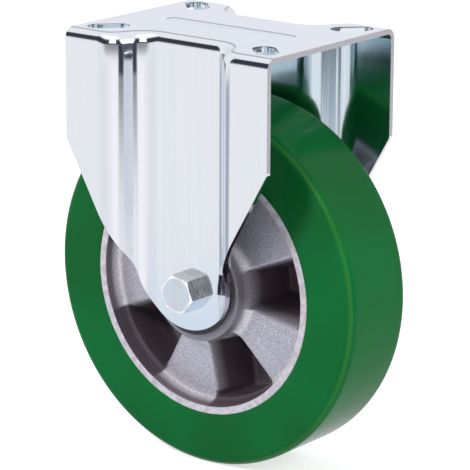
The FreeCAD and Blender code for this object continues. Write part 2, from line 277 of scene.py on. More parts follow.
def shader_group(name: str, inputs: Sequence[tuple[str, str, float]], outputs: Sequence[str],
                 build: Callable[[Tree, Any, bpy.types.Node], None]) -> bpy.types.NodeTree:
    """Makes a shader node group.

    Args:
        name: the group's name.
        inputs: each input's name, kind (Vector or Float) and default.
        outputs: the names of its outputs, all numbers.
        build: fills the tree, given the tree, the sockets that come in and the group's output node.

    Returns:
        The group.
    """
    group = bpy.data.node_groups.new(name, "ShaderNodeTree")
    for label, kind, value in inputs:
        socket = group.interface.new_socket(label, in_out="INPUT", socket_type="NodeSocket" + kind)
        if kind == "Float":
            socket.default_value = value
    for label in outputs:
        group.interface.new_socket(label, in_out="OUTPUT", socket_type="NodeSocketFloat")
    tree = Tree(group)
    build(tree, tree.node("NodeGroupInput").outputs, tree.node("NodeGroupOutput"))
    return group


@dataclass
class Effects:
    """The patterns that several finishes share, each one node group."""

    facing_up: Stretch = (0.6, 0.8)
    grain_detail: float = 3.0
    cast_detail: float = 2.0
    spark: Stretch = (0.12, 0.45)
    spark_height: float = 0.35
    patch_detail: float = 1.0
    patch_contrast: Stretch = (0.3, 0.7)
    grain: bpy.types.NodeTree = field(init=False)
    cast: bpy.types.NodeTree = field(init=False)
    mottle: bpy.types.NodeTree = field(init=False)
    round: bpy.types.NodeTree = field(init=False)

    def __post_init__(self) -> None:
        """Builds the groups once."""
        place = ("Position", "Vector", 0.0)
        fine = ("Fine", "Float", 1000.0)
        long = ("Long", "Float", 20.0)
        self.grain = shader_group("rolled_grain", [place, fine, long], ["Value"], self._grain)
        self.cast = shader_group("cast_grain", [place, fine], ["Value"], self._cast)
        self.mottle = shader_group("soft_patches", [place, fine], ["Value"], self._mottle)
        self.round = shader_group("about_the_axle", [place, ("Axle Height", "Float", 0.0)],
                                  ["Radius", "Along", "Turn", "Far"], self._round)

    def _grain(self, tree: Tree, given: Any, out: bpy.types.Node) -> None:
        """Long fine streaks: upright on walls, and along X on faces that look up or down.

        Args:
            tree: the group's tree.
            given: the sockets that come in.
            out: the group's output node.
        """
        x, y, z = tree.separate(given["Position"])
        fine, long = given["Fine"], given["Long"]
        normal = tree.node("ShaderNodeTexCoord").outputs["Normal"]
        level = tree.ramp(tree.math("ABSOLUTE", tree.separate(normal)[2]), *self.facing_up)
        wall = tree.combine(tree.times(x, fine), tree.times(y, fine), tree.times(z, long))
        plate = tree.combine(tree.times(x, long), tree.times(y, fine), 0.0)
        on_wall, on_plate = (tree.noise(place, 1.0, self.grain_detail) for place in (wall, plate))
        streaks = tree.plus(tree.times(on_plate, level), tree.times(on_wall, tree.minus(1.0, level)))
        tree.fill(out, Value=streaks)

    def _cast(self, tree: Tree, given: Any, out: bpy.types.Node) -> None:
        """Sand-like grain of a casting: small bright points over a finer roughness.

        Args:
            tree: the group's tree.
            given: the sockets that come in.
            out: the group's output node.
        """
        rough = tree.noise(given["Position"], given["Fine"], self.cast_detail)
        point = tree.node("ShaderNodeTexVoronoi", feature="F1")
        tree.fill(point, Vector=given["Position"], Scale=given["Fine"])
        spark = tree.ramp(point.outputs["Distance"], *self.spark, 1.0, 0.0)
        tree.fill(out, Value=tree.plus(rough, tree.times(spark, self.spark_height)))

    def _mottle(self, tree: Tree, given: Any, out: bpy.types.Node) -> None:
        """Large soft patches."""
        patches = tree.noise(given["Position"], given["Fine"], self.patch_detail)
        tree.fill(out, Value=tree.ramp(patches, *self.patch_contrast))

    def _round(self, tree: Tree, given: Any, out: bpy.types.Node) -> None:
        """Distance from the axle and along it, the turn about it, and 1 on the far side.

        Args:
            tree: the group's tree.
            given: the sockets that come in.
            out: the group's output node.
        """
        x, y, z = tree.separate(given["Position"])
        up = tree.minus(z, given["Axle Height"])
        square = tree.plus(tree.times(x, x), tree.times(up, up))
        tree.fill(out, Radius=tree.math("SQRT", square), Along=tree.math("ABSOLUTE", y),
                  Turn=tree.math("ARCTAN2", up, x), Far=tree.math("GREATER_THAN", y, 0.0))


class FinishTree(Tree):
    """A material's tree, with its surface shader and object coordinates at hand."""

    def __init__(self, material: bpy.types.Material, effects: Effects) -> None:
        """Clears the material's tree and adds its shader.

        Args:
            material: the material to fill.
            effects: the shared patterns.
        """
        material.use_nodes = True
        super().__init__(material.node_tree)
        self.tree.nodes.clear()
        self.effects = effects
        self.surface = self.node("ShaderNodeBsdfPrincipled")
        self.fill(self.node("ShaderNodeOutputMaterial"), Surface=self.surface.outputs[0])
        self.place = self.node("ShaderNodeTexCoord").outputs["Object"]

    def effect(self, group: bpy.types.NodeTree, **values: float) -> Any:
        """One of the shared patterns, on this object's coordinates.

        Args:
            group: the pattern's node group.
            values: its inputs, with underscores for spaces.

        Returns:
            The pattern's outputs.
        """
        made = self.node("ShaderNodeGroup", node_tree=group)
        return self.fill(made, Position=self.place, **values).outputs

    def set_surface(self, **values: Any) -> None:
        """Feeds the surface shader's inputs by name, with underscores for spaces."""
        self.fill(self.surface, **values)

    def bump(self, height: Socket, strength: float, distance: float) -> None:
        """Raises the surface by a height, on top of any normal it has so far.

        Args:
            height: the height's socket.
            strength: how strongly it shows.
            distance: how far one unit of height stands out.
        """
        made = self.fill(self.node("ShaderNodeBump"), Strength=strength, Distance=distance, Height=height)
        for link in self.surface.inputs["Normal"].links:
            self.fill(made, Normal=link.from_socket)
        self.set_surface(Normal=made.outputs[0])


# Finishes

@dataclass(frozen=True)
class Finish:
    """A finish, which becomes a material of its own name."""

    name: str

    def material(self, effects: Effects) -> bpy.types.Material:
        """The finish as a material.

        Args:
            effects: the shared patterns.

        Returns:
            The new material.
        """
        made = bpy.data.materials.new(self.name)
        self.paint(FinishTree(made, effects))
        return made

    def paint(self, tree: FinishTree) -> None:
        """Builds the finish's own nodes."""
        raise NotImplementedError(self.name)


@dataclass(frozen=True)
class ZincFinish(Finish):
    """Bright zinc plate over the metal's streaks, with a thin dark line painted where its top folds start.

    Streaks and bands are counted per metre, across and along, and its other sizes are in metres. The drawn-in
    corner is where the press drew the wave's flanks into the fold.
    """

    tint: Colour = (0.855, 0.873, 0.912)
    shade: Colour = (0.805, 0.832, 0.878)
    # colour of the thin dark line painted along the start of the top folds
    crease: Colour = (0.12, 0.13, 0.16)
    rough_low: float = 0.07
    rough_high: float = 0.13
    contrast: Stretch = (0.3, 0.7)
    streaks: float = 1600.0
    streaks_along: float = 14.0
    streak_share: float = 0.45
    streaks_per_band: float = 10.0
    bands_along: float = 3.0
    band_share: float = 0.55
    relief: float = 0.03
    relief_height: float = 0.2 * MM
    metal: float = 1.0
    fold_line: float = 0.0
    line_rise: Stretch = (-0.50 * MM, -0.30 * MM)
    line_fall: Stretch = (-0.08 * MM, -0.03 * MM)
    drawn_in: float = 0.0
    flank_rise: Stretch = (20.0 * MM, 27.0 * MM)
    flank_fall: Stretch = (40.0 * MM, 46.0 * MM)
    drawn_heights: Stretch = (-24.0 * MM, -6.0 * MM)
    drawn_tilts: Stretch = (0.1, 0.9)

    def paint(self, tree: FinishTree) -> None:
        """Fine streaks and wider bands, the thin dark line at the folds' start and the drawn-in corner.

        Args:
            tree: the material's tree.
        """
        pattern = tree.effects.grain
        grain = tree.effect(pattern, Fine=self.streaks, Long=self.streaks_along)["Value"]
        wide = self.streaks / self.streaks_per_band
        bands = tree.effect(pattern, Fine=wide, Long=self.bands_along)["Value"]
        both = tree.plus(tree.times(grain, self.streak_share), tree.times(bands, self.band_share))
        plated = tree.mix(tree.ramp(both, *self.contrast, smooth=False), self.shade, self.tint)
        height = tree.separate(tree.place)[2]
        # a thin dark line painted just below the plate's top, where the folds start
        line = tree.window(height, self.line_rise, self.line_fall, self.fold_line)
        rough = tree.ramp(grain, *self.contrast, self.rough_high, self.rough_low, smooth=False)
        tree.set_surface(Base_Color=tree.mix(line, plated, self.crease), Roughness=rough, Metallic=self.metal)
        if self.drawn_in:
            tree.set_surface(Normal=self._drawn_corner(tree, height))
        tree.bump(grain, self.relief, self.relief_height)

    def _drawn_corner(self, tree: FinishTree, height: Socket) -> Socket:
        """The surface's normal, leant upwards on the wave's flanks under the fold.

        Args:
            tree: the material's tree.
            height: the place's height.

        Returns:
            The normal's socket.
        """
        out = tree.math("ABSOLUTE", tree.separate(tree.place)[0])
        flank = tree.window(out, self.flank_rise, self.flank_fall)
        rise = tree.ramp(height, *self.drawn_heights)
        tilt = tree.math("ABSOLUTE", tree.separate(tree.node("ShaderNodeTexCoord").outputs["Normal"])[2])
        upright = tree.ramp(tilt, *self.drawn_tilts, self.drawn_in, 0.0)
        lean = tree.times(rise, tree.times(flank, upright))
        to_world = tree.node("ShaderNodeVectorTransform", vector_type="VECTOR", convert_from="OBJECT",
                             convert_to="WORLD")
        tree.feed(to_world.inputs[0], tree.combine(0.0, 0.0, lean))
        leant = tree.node("ShaderNodeVectorMath", operation="ADD")
        tree.feed(leant.inputs[0], tree.node("ShaderNodeNewGeometry").outputs["Normal"])
        tree.feed(leant.inputs[1], to_world.outputs[0])
        unit = tree.node("ShaderNodeVectorMath", operation="NORMALIZE")
        tree.feed(unit.inputs[0], leant.outputs[0])
        return unit.outputs[0]


@dataclass(frozen=True)
class ShearedFinish(Finish):
    """The sheet's cut edge: torn, duller and greyer than its faces."""

    name: str = "sheared_edge"
    tint: Colour = (0.74, 0.73, 0.77)
    shade: Colour = (0.42, 0.40, 0.43)
    fineness: float = 1500.0
    contrast: Stretch = (0.2, 1.0)
    rough_low: float = 0.4
    rough_high: float = 0.6
    relief: float = 0.4
    relief_height: float = 0.1 * MM

    def paint(self, tree: FinishTree) -> None:
        """Torn metal.

        Args:
            tree: the material's tree.
        """
        torn = tree.effect(tree.effects.cast, Fine=self.fineness)["Value"]
        rough = tree.ramp(torn, *self.contrast, self.rough_high, self.rough_low)
        tree.set_surface(Base_Color=tree.mix(torn, self.shade, self.tint), Roughness=rough, Metallic=1.0)
        tree.bump(torn, self.relief, self.relief_height)


@dataclass(frozen=True)
class TyreFinish(Finish):
    """Glossy cast polyurethane, with a painted highlight in a lighter yellow-green along its rounded edge."""

    axle_height: float
    edge_radius: float
    edge_along: float
    tint: Colour = (0.003, 0.137, 0.031)
    deep: Colour = (0.005, 0.107, 0.023)
    # painted highlight along the rounded edge, lighter and yellower than the body
    edge: Colour = (0.075, 0.270, 0.032)
    band: float = 3.0 * MM
    patches: float = 16.0
    pores: float = 420.0
    rough_low: float = 0.16
    rough_high: float = 0.22
    gloss: float = 0.08
    relief: float = 0.02
    relief_height: float = 0.2 * MM

    def paint(self, tree: FinishTree) -> None:
        """Soft patches, the painted edge highlight and a faint orange-peel skin.

        Args:
            tree: the material's tree.
        """
        place = tree.effect(tree.effects.round, Axle_Height=self.axle_height)
        # painted highlight: a band just inside the rounded edge
        inside = (-self.band, 0.0)
        edge_highlight_mask = tree.times(tree.ramp_at(place["Radius"], self.edge_radius, inside),
                               tree.ramp_at(place["Along"], self.edge_along, inside))
        body = tree.mix(tree.effect(tree.effects.mottle, Fine=self.patches)["Value"], self.deep, self.tint)
        skin = tree.effect(tree.effects.mottle, Fine=self.pores)["Value"]
        rough = tree.ramp(skin, 0.0, 1.0, self.rough_low, self.rough_high)
        tree.set_surface(Base_Color=tree.mix(edge_highlight_mask, body, self.edge), Roughness=rough,
                         Specular_IOR_Level=self.gloss)
        tree.bump(skin, self.relief, self.relief_height)


@dataclass(frozen=True)
class CastingFinish(Finish):
    """Grey die casting with painted shade down its pockets and on its rim's inner wall, a painted highlight
    along its edges, and a turned bright ring on each side of its rim.

    Its sizes are in metres. A stretch that is named for a place is counted from that place.
    """

    axle_height: float
    ring_radius: float
    ring_along: float
    land_start: Point2
    land_end: Point2
    rim_wall: float
    first_pocket: float
    pocket_step: float
    pocket_reach: float
    tint: Colour = (0.90, 0.87, 0.94)
    shade: Colour = (0.48, 0.45, 0.51)
    # painted highlight on the fillets and edges just above the web's face
    painted_highlight: Colour = (1.0, 0.98, 1.0)
    # painted shade down the pockets, darker with depth below the web's face
    pocket: Colour = (0.115, 0.082, 0.106)
    # painted shade on the rim's inner wall over the pockets
    rim_wall_shade: Colour = (0.090, 0.066, 0.084)
    hub: Colour = (0.31, 0.295, 0.33)
    turned: Colour = (0.66, 0.62, 0.67)
    turned_shade: Colour = (0.50, 0.46, 0.51)
    sand: float = 1500.0
    sand_contrast: Stretch = (0.35, 0.95)
    turned_patches: float = 330.0
    from_ring_radius: Stretch = (-0.2 * MM, 0.0)
    from_ring_along: Stretch = (-0.5 * MM, -0.2 * MM)
    highlight_rise: Stretch = (0.0, 0.9 * MM)
    highlight_fall: Stretch = (2.0 * MM, 6.0 * MM)
    highlight_peak: float = 0.75
    highlight_sand: Stretch = (0.35, 0.75)
    highlight_amounts: Stretch = (0.35, 1.15)
    from_hub_side: Stretch = (0.5 * MM, 2.0 * MM)
    hub_heights: Stretch = (2.0 * MM, 4.5 * MM)
    from_rim_wall: Stretch = (-0.7 * MM, -0.1 * MM)
    wall_heights: Stretch = (-5.5 * MM, -3.0 * MM)
    wall_shadow: float = 0.85
    pocket_to_wall: Stretch = (-5.0 * MM, -3.0 * MM)
    pocket_shade_depths: Stretch = (-1.0 * MM, 10.0 * MM)
    pocket_side: Stretch = (0.95, 1.05)
    rough: float = 0.52
    ring_smoother: float = 0.17
    metals: Stretch = (0.70, 0.2)
    ring_flatter: float = 0.7
    relief: float = 0.35
    relief_height: float = 0.15 * MM

    def paint(self, tree: FinishTree) -> None:
        """The casting's grain, its painted shade in the pockets and under the turned ring, and the ring
        itself.

        Args:
            tree: the material's tree.
        """
        grain = tree.effect(tree.effects.cast, Fine=self.sand)["Value"]
        patches = tree.effect(tree.effects.mottle, Fine=self.turned_patches)["Value"]
        place = tree.effect(tree.effects.round, Axle_Height=self.axle_height)
        ring = tree.times(tree.ramp_at(place["Radius"], self.ring_radius, self.from_ring_radius),
                          tree.ramp_at(place["Along"], self.ring_along, self.from_ring_along))
        depth = self._depth(tree, place)
        in_pocket = self._in_pocket(tree, place)
        beyond = tree.times(in_pocket, tree.ramp_at(place["Radius"], self.rim_wall, self.pocket_to_wall))
        wall = self._wall_shadow(tree, place, beyond)
        # painted shade: darker with depth below the web's face and on the rim's inner wall
        dark = tree.math("MAXIMUM", tree.ramp(depth, *self.pocket_shade_depths), wall)
        cast = self._lit_casting(tree, place, grain, tree.times(depth, -1.0), in_pocket)
        # paints the shade into the colour, darkest on the rim's wall over the pockets
        cast = tree.mix(beyond, tree.mix(dark, cast, self.pocket), self.rim_wall_shade)
        turned = tree.mix(patches, self.turned_shade, self.turned)
        tree.set_surface(Base_Color=tree.mix(ring, cast, turned),
                         Roughness=tree.minus(self.rough, tree.times(ring, self.ring_smoother)),
                         Metallic=tree.ramp(dark, 0.0, 1.0, *self.metals))
        height = tree.times(grain, tree.minus(1.0, tree.times(ring, self.ring_flatter)))
        tree.bump(height, self.relief, self.relief_height)

    def _lit_casting(self, tree: FinishTree, place: Any, grain: Socket, above: Socket,
                     in_pocket: Socket) -> Socket:
        """The casting's colour outside its painted shade: sandy, darker on the hub, with a painted highlight
        on the edges just above the web's face.

        Args:
            tree: the material's tree.
            place: the place about the axle.
            grain: the casting's grain.
            above: the height above the web's face.
            in_pocket: whether the place lies over a pocket.

        Returns:
            The colour's socket.
        """
        cast = tree.mix(tree.ramp(grain, *self.sand_contrast), self.shade, self.tint)
        # painted highlight: a bright band just above the web's face, outside the pockets, broken by the grain
        painted_highlight = tree.window(above, self.highlight_rise, self.highlight_fall, self.highlight_peak)
        painted_highlight = tree.times(painted_highlight, tree.minus(1.0, in_pocket))
        painted_highlight = tree.times(painted_highlight, tree.ramp(grain, *self.highlight_sand, *self.highlight_amounts))
        on_hub = tree.ramp_at(place["Radius"], self.land_start[0], self.from_hub_side, 1.0, 0.0)
        cast = tree.mix(tree.times(on_hub, tree.ramp(above, *self.hub_heights)), cast, self.hub)
        return tree.mix(painted_highlight, cast, self.painted_highlight)

    def _wall_shadow(self, tree: FinishTree, place: Any, beyond: Socket) -> Socket:
        """The shadow on the rim's inner wall, under the ring and over the pockets.

        Args:
            tree: the material's tree.
            place: the place about the axle.
            beyond: whether the place is on the wall over a pocket.

        Returns:
            The shadow's socket.
        """
        on_wall = tree.ramp_at(place["Radius"], self.rim_wall, self.from_rim_wall)
        near_ring = tree.ramp_at(place["Along"], self.ring_along, self.wall_heights, 0.0, self.wall_shadow)
        return tree.math("MAXIMUM", tree.times(on_wall, near_ring), beyond)

    def _depth(self, tree: FinishTree, place: Any) -> Socket:
        """How far a place lies below the web's conical face.

        Args:
            tree: the material's tree.
            place: the place about the axle.

        Returns:
            The depth's socket.
        """
        (start_radius, start_along), (end_radius, end_along) = self.land_start, self.land_end
        slope = (end_along - start_along) / (end_radius - start_radius)
        face = tree.math("MULTIPLY_ADD", place["Radius"], slope, start_along - slope * start_radius)
        return tree.minus(face, place["Along"])

    def _in_pocket(self, tree: FinishTree, place: Any) -> Socket:
        """Whether a place lies over one of its own side's pockets, seen along the axle.

        Args:
            tree: the material's tree.
            place: the place about the axle.

        Returns:
            A socket that is 1 over a pocket and 0 elsewhere.
        """
        half_step = self.pocket_step / 2
        turn = tree.minus(place["Turn"], tree.times(place["Far"], half_step))
        turn = tree.math("WRAP", tree.minus(turn, self.first_pocket), half_step, -half_step)
        low, high = (self.pocket_reach * share for share in self.pocket_side)
        return tree.ramp(tree.math("ABSOLUTE", turn), low, high, 1.0, 0.0)


@dataclass(frozen=True)
class PlainFinish(Finish):
    """A smooth finish of one tone, broken by a fine grain."""

    tint: Colour
    shade: Colour
    rough: float
    metal: float = 0.0
    grain: float = 900.0
    relief: float = 0.03
    relief_height: float = 0.1 * MM
    contrast: Stretch = (0.2, 1.0)
    rougher: float = 0.05
    smoother: float = 0.03

    def paint(self, tree: FinishTree) -> None:
        """One tone with its grain.

        Args:
            tree: the material's tree.
        """
        grain = tree.effect(tree.effects.cast, Fine=self.grain)["Value"]
        rough = tree.ramp(grain, *self.contrast, self.rough + self.rougher, self.rough - self.smoother)
        toned = tree.mix(grain, self.shade, self.tint)
        tree.set_surface(Base_Color=toned, Roughness=rough, Metallic=self.metal)
        tree.bump(grain, self.relief, self.relief_height)


# Sections and turned bodies

@dataclass
class Section:
    """A closed outline of a turned body: corners of radius, y and rounding, all in millimetres."""

    corners: Sequence[Point3]
    steps: int = 8
    longest: float = 3.0
    zones: Sequence[Point3] = ()
    fewest_steps: int = 3
    steps_per_mm: int = 3

    def points(self) -> list[Point2]:
        """The outline's points in metres, its rounded corners as arcs and its long runs divided.

        Returns:
            The points in order, the first one repeated at the end.
        """
        path: list[Vector] = []
        count = len(self.corners)
        for index, (radius, along, rounding) in enumerate(self.corners):
            corner = Vector((radius, along))
            before = Vector(self.corners[index - 1][:2])
            after = Vector(self.corners[(index + 1) % count][:2])
            path.extend(self._rounded(before, corner, after, rounding))
        path.append(path[0].copy())
        divided: list[Vector] = []
        for start, end in zip(path, path[1:]):
            parts = max(1, math.ceil((end - start).length / self._step(start, end)))
            divided.extend(start.lerp(end, part / parts) for part in range(parts))
        divided.append(path[-1])
        return [(point.x * MM, point.y * MM) for point in divided]

    def _step(self, start: Vector, end: Vector) -> float:
        """The longest step allowed on a run, by the zone (low radius, high radius, step) that it lies in."""
        middle = (start.x + end.x) / 2
        return next((step for low, high, step in self.zones if low < middle < high), self.longest)

    def _rounded(self, before: Vector, corner: Vector, after: Vector, rounding: float) -> list[Vector]:
        """One corner's arc, or the corner itself where it is sharp.

        Args:
            before: the corner before it.
            corner: the corner.
            after: the corner after it.
            rounding: the arc's radius.

        Returns:
            The arc's points in order.
        """
        if rounding <= 0:
            return [corner]
        back, ahead = (before - corner).normalized(), (after - corner).normalized()
        half = back.angle(ahead) / 2
        centre = corner + (back + ahead).normalized() * (rounding / math.sin(half))
        start = corner + back * (rounding / math.tan(half)) - centre
        end = corner + ahead * (rounding / math.tan(half)) - centre
        turn = start.angle_signed(end)
        steps = max(self.fewest_steps, min(self.steps, round(self.steps_per_mm * rounding)))
        return [centre + Matrix.Rotation(-turn * step / steps, 2) @ start for step in range(steps + 1)]

    def mesh(self, name: str) -> bpy.types.Object:
        """An object that holds the points, radius as x and y as y.

        Args:
            name: the object's name.

        Returns:
            The object.
        """
        mesh = bpy.data.meshes.new(name)
        mesh.from_pydata([(radius, along, 0.0) for radius, along in self.points()], [], [])
        made = bpy.data.objects.new(name, mesh)
        bpy.context.scene.collection.objects.link(made)
        return made


def settle(made: bpy.types.Object, modifier: bpy.types.Modifier) -> None:
    """Turns a modifier's result into the object's own mesh.

    Args:
        made: the object.
        modifier: its one modifier, which is removed.
    """
    bpy.context.view_layer.update()
    graph = bpy.context.evaluated_depsgraph_get()
    mesh = bpy.data.meshes.new_from_object(made.evaluated_get(graph), depsgraph=graph)
    made.modifiers.remove(modifier)
    old, made.data = made.data, mesh
    bpy.data.meshes.remove(old)


class GeometryTree(Tree):
    """A geometry node tree with named inputs, which runs as a modifier."""

    def __init__(self, name: str, inputs: Sequence[tuple[str, str]]) -> None:
        """Makes the tree and its sockets.

        Args:
            name: the tree's name.
            inputs: each input's name and socket kind, after the geometry itself.
        """
        group = bpy.data.node_groups.new(name, "GeometryNodeTree")
        super().__init__(group)
        group.interface.new_socket("Geometry", in_out="INPUT", socket_type="NodeSocketGeometry")
        group.interface.new_socket("Geometry", in_out="OUTPUT", socket_type="NodeSocketGeometry")
        for label, kind in inputs:
            group.interface.new_socket(label, in_out="INPUT", socket_type="NodeSocket" + kind)
        self.given = self.node("NodeGroupInput").outputs

    def position(self) -> Socket:
        """The place of each point."""
        return self.node("GeometryNodeInputPosition").outputs[0]

    def grid(self, columns: Socket, rows: Socket) -> tuple[Socket, Socket, Socket]:
        """A grid of points.

        Args:
            columns: how many points it has across.
            rows: how many points it has up.

        Returns:
            The grid, and each point's share of the way across it and up it.
        """
        made = self.node("GeometryNodeMeshGrid")
        self.fill(made, Size_X=1.0, Size_Y=1.0, Vertices_X=columns, Vertices_Y=rows)
        across, up, _ = self.separate(self.position())
        return made.outputs["Mesh"], self.plus(across, 0.5), self.plus(up, 0.5)

    def wrapped(self, grid: Socket, turn: Socket, radius: Socket, along: Socket) -> Socket:
        """Puts a grid's points about the axle and closes the seam.

        Args:
            grid: the grid.
            turn: each point's share of a full turn.
            radius: its distance from the axle.
            along: its place along the axle.

        Returns:
            The closed skin.
        """
        angle = self.times(turn, FULL_TURN)
        high = self.plus(self.times(radius, self.math("SINE", angle)), self.given["Axle Height"])
        place = self.combine(self.times(radius, self.math("COSINE", angle)), along, high)
        put = self.fill(self.node("GeometryNodeSetPosition"), Geometry=grid, Position=place)
        merge = self.node("GeometryNodeMergeByDistance")
        return self.fill(merge, Geometry=put.outputs[0], Distance=WELD).outputs[0]

    def finish(self, geometry: Socket) -> None:
        """Ends the tree with real geometry that has the finish named by its Finish input.

        Args:
            geometry: what the tree has made.
        """
        real = self.fill(self.node("GeometryNodeRealizeInstances"), Geometry=geometry)
        coat = self.node("GeometryNodeSetMaterial")
        self.fill(coat, Geometry=real.outputs[0], Material=self.given["Finish"])
        self.fill(self.node("NodeGroupOutput"), Geometry=coat.outputs[0])

    def run(self, made: bpy.types.Object, values: dict[str, Any]) -> None:
        """Puts the tree on an object and turns its result into the object's own mesh.

        Args:
            made: the object whose mesh is the tree's geometry.
            values: the tree's inputs by name.
        """
        modifier = made.modifiers.new(self.tree.name, "NODES")
        modifier.node_group = self.tree
        names = {item.name: item.identifier for item in self.tree.interface.items_tree
                 if item.item_type == "SOCKET" and item.in_out == "INPUT"}
        for name, value in values.items():
            modifier[names[name]] = value
        settle(made, modifier)


class LatheTree(GeometryTree):
    """Turns a section, read from the object's own points, into a body about the axle."""

    def __init__(self) -> None:
        """Builds the tree."""
        super().__init__("turned_body", [("Steps Round", "Int"), ("Axle Height", "Float"),
                                         ("Finish", "Material")])
        section = self.given["Geometry"]
        size = self.node("GeometryNodeAttributeDomainSize")
        rows = self.fill(size, Geometry=section).outputs["Point Count"]
        grid, turn, share = self.grid(self.plus(self.given["Steps Round"], 1.0), rows)
        row = self.math("ROUND", self.times(share, self.minus(rows, 1.0)))
        sample = self.node("GeometryNodeSampleIndex", data_type="FLOAT_VECTOR")
        self.fill(sample, Geometry=section, Value=self.position(), Index=row)
        radius, along, _ = self.separate(sample.outputs[0])
        self.finish(self.wrapped(grid, turn, radius, along))


class WebTree(GeometryTree):
    """Sinks drafted pockets into both faces of a turned wheel centre, each face's between the other's."""

    def __init__(self) -> None:
        """Builds the tree."""
        numbers = ["Axle Height", "First Pocket", "Pocket Step", "Floor Half Angle", "Angle Draft",
                   "Floor Past Middle", "Hub Radius", "Hub Draft", "Rim Radius", "Rim Draft", "Mouth Start",
                   "Mouth Run", "Mouth Rounding", "Floor Rounding", "Corner Rounding"]
        super().__init__("pocketed_web", [(name, "Float") for name in numbers] + [("Finish", "Material")])
        given = self.given
        x, y, z = self.separate(self.position())
        up = self.minus(z, given["Axle Height"])
        radius = self.math("SQRT", self.plus(self.times(x, x), self.times(up, up)))
        sunk = self.math("SMOOTH_MAX", self._walls(x, up, y, radius), 0.0, given["Floor Rounding"])
        land = self.plus(self.math("ABSOLUTE", y), given["Floor Past Middle"])
        room = self.math("MINIMUM", self.minus(radius, given["Mouth Start"]),
                         self.minus(given["Rim Radius"], radius))
        share = self.math("MINIMUM", self.math("DIVIDE", room, given["Mouth Run"]), 1.0)
        share = self.math("MAXIMUM", share, 0.0)
        height = self.math("SMOOTH_MIN", land, sunk, self.times(share, given["Mouth Rounding"]))
        move = self.times(self.minus(height, land), self.math("SIGN", y))
        put = self.node("GeometryNodeSetPosition")
        self.fill(put, Geometry=given["Geometry"], Offset=self.combine(0.0, move, 0.0))
        self.finish(put.outputs[0])

    def _walls(self, x: Socket, up: Socket, y: Socket, radius: Socket) -> Socket:
        """Height of the nearest pocket's walls above its floor, at a place on the web.

        Args:
            x: the place along the rolling direction.
            up: its height over the axle.
            y: its place along the axle.
            radius: its distance from the axle.

        Returns:
            The height's socket, below zero over the floor.
        """
        given = self.given
        half_step = self.times(given["Pocket Step"], 0.5)
        first = self.plus(given["First Pocket"], self.times(half_step, self.math("GREATER_THAN", y, 0.0)))
        angle = self.minus(self.math("ARCTAN2", up, x), first)
        off = self.math("ABSOLUTE", self.math("WRAP", angle, half_step, self.times(half_step, -1.0)))
        sides = self.math("DIVIDE", self.minus(off, given["Floor Half Angle"]), given["Angle Draft"])
        hub = self.math("DIVIDE", self.minus(given["Hub Radius"], radius), given["Hub Draft"])
        rim = self.math("DIVIDE", self.minus(radius, given["Rim Radius"]), given["Rim Draft"])
        return self.math("SMOOTH_MAX", sides, self.math("MAXIMUM", hub, rim), given["Corner Rounding"])


class ThreadTree(GeometryTree):
    """A screw thread's skin about the axle, from a start to a chamfered tip, closed at the tip."""

    crest_cut = 1.15

    def __init__(self) -> None:
        """Builds the tree."""
        numbers = ["Axle Height", "Start", "Length", "Pitch", "Major Radius", "Minor Radius", "Tip Chamfer"]
        super().__init__("bolt_thread", [("Rows", "Int"), ("Steps Round", "Int")]
                         + [(name, "Float") for name in numbers] + [("Finish", "Material")])
        given = self.given
        grid, turn, share = self.grid(self.plus(given["Steps Round"], 1.0), self.plus(given["Rows"], 1.0))
        last = self.math("DIVIDE", 1.0, given["Rows"])
        body = self.math("MINIMUM", self.math("DIVIDE", share, self.minus(1.0, last)), 1.0)
        along = self.times(body, given["Length"])
        to_tip = self.minus(given["Length"], along)
        cone = self.minus(self.plus(given["Major Radius"], to_tip), given["Tip Chamfer"])
        open_end = self.math("LESS_THAN", share, self.minus(1.0, self.times(last, 0.5)))
        radius = self.times(self.math("MINIMUM", self._toothed(turn, along), cone), open_end)
        self.finish(self.wrapped(grid, turn, radius, self.plus(along, given["Start"])))

    def _toothed(self, turn: Socket, along: Socket) -> Socket:
        """The thread's radius at a place, with its crests cut flat.

        Args:
            turn: the place's share of a full turn.
            along: its distance from the thread's start.

        Returns:
            The radius's socket.
        """
        given = self.given
        phase = self.math("FRACT", self.plus(self.math("DIVIDE", along, given["Pitch"]), turn))
        tooth = self.math("ABSOLUTE", self.minus(self.times(phase, 2.0), 1.0))
        crest = self.math("MINIMUM", self.times(tooth, self.crest_cut), 1.0)
        height = self.minus(given["Major Radius"], given["Minor Radius"])
        return self.plus(given["Minor Radius"], self.times(crest, height))


# Edges and shading

def shade(mesh: bpy.types.Mesh, crease: float) -> None:
    """Smooths a mesh, apart from edges sharper than the crease in degrees."""
    mesh.shade_smooth()
    mesh.set_sharp_from_angle(angle=math.radians(crease))


def outward(mesh: bpy.types.Mesh, crease: float) -> None:
    """Points a closed mesh's faces outwards and smooths it, apart from edges sharper than the crease.

    Args:
        mesh: the mesh.
        crease: the smallest angle of a sharp edge, in degrees.
    """
    work = bmesh.new()
    work.from_mesh(mesh)
    bmesh.ops.recalc_face_normals(work, faces=work.faces)
    work.to_mesh(mesh)
    work.free()
    shade(mesh, crease)


def sharp_edges(work: BMesh, least: float, most: float = 180.0) -> list[bmesh.types.BMEdge]:
    """The edges whose faces meet at an angle within limits.

    Args:
        work: the mesh.
        least: the smallest angle, in degrees.
        most: the largest angle, in degrees.

    Returns:
        The edges.
    """
    low, high = math.radians(least), math.radians(most)
    return [edge for edge in work.edges if edge.is_manifold and low < edge.calc_face_angle(0.0) < high]


def soften(work: BMesh, edges: Iterable[bmesh.types.BMEdge], width: float) -> None:
    """Rounds edges by a small width."""
    bmesh.ops.bevel(work, geom=list(edges), offset=width, offset_type="OFFSET", segments=EDGE_STEPS,
                    profile=EDGE_PROFILE, affect="EDGES", clamp_overlap=True, loop_slide=False, material=-1)


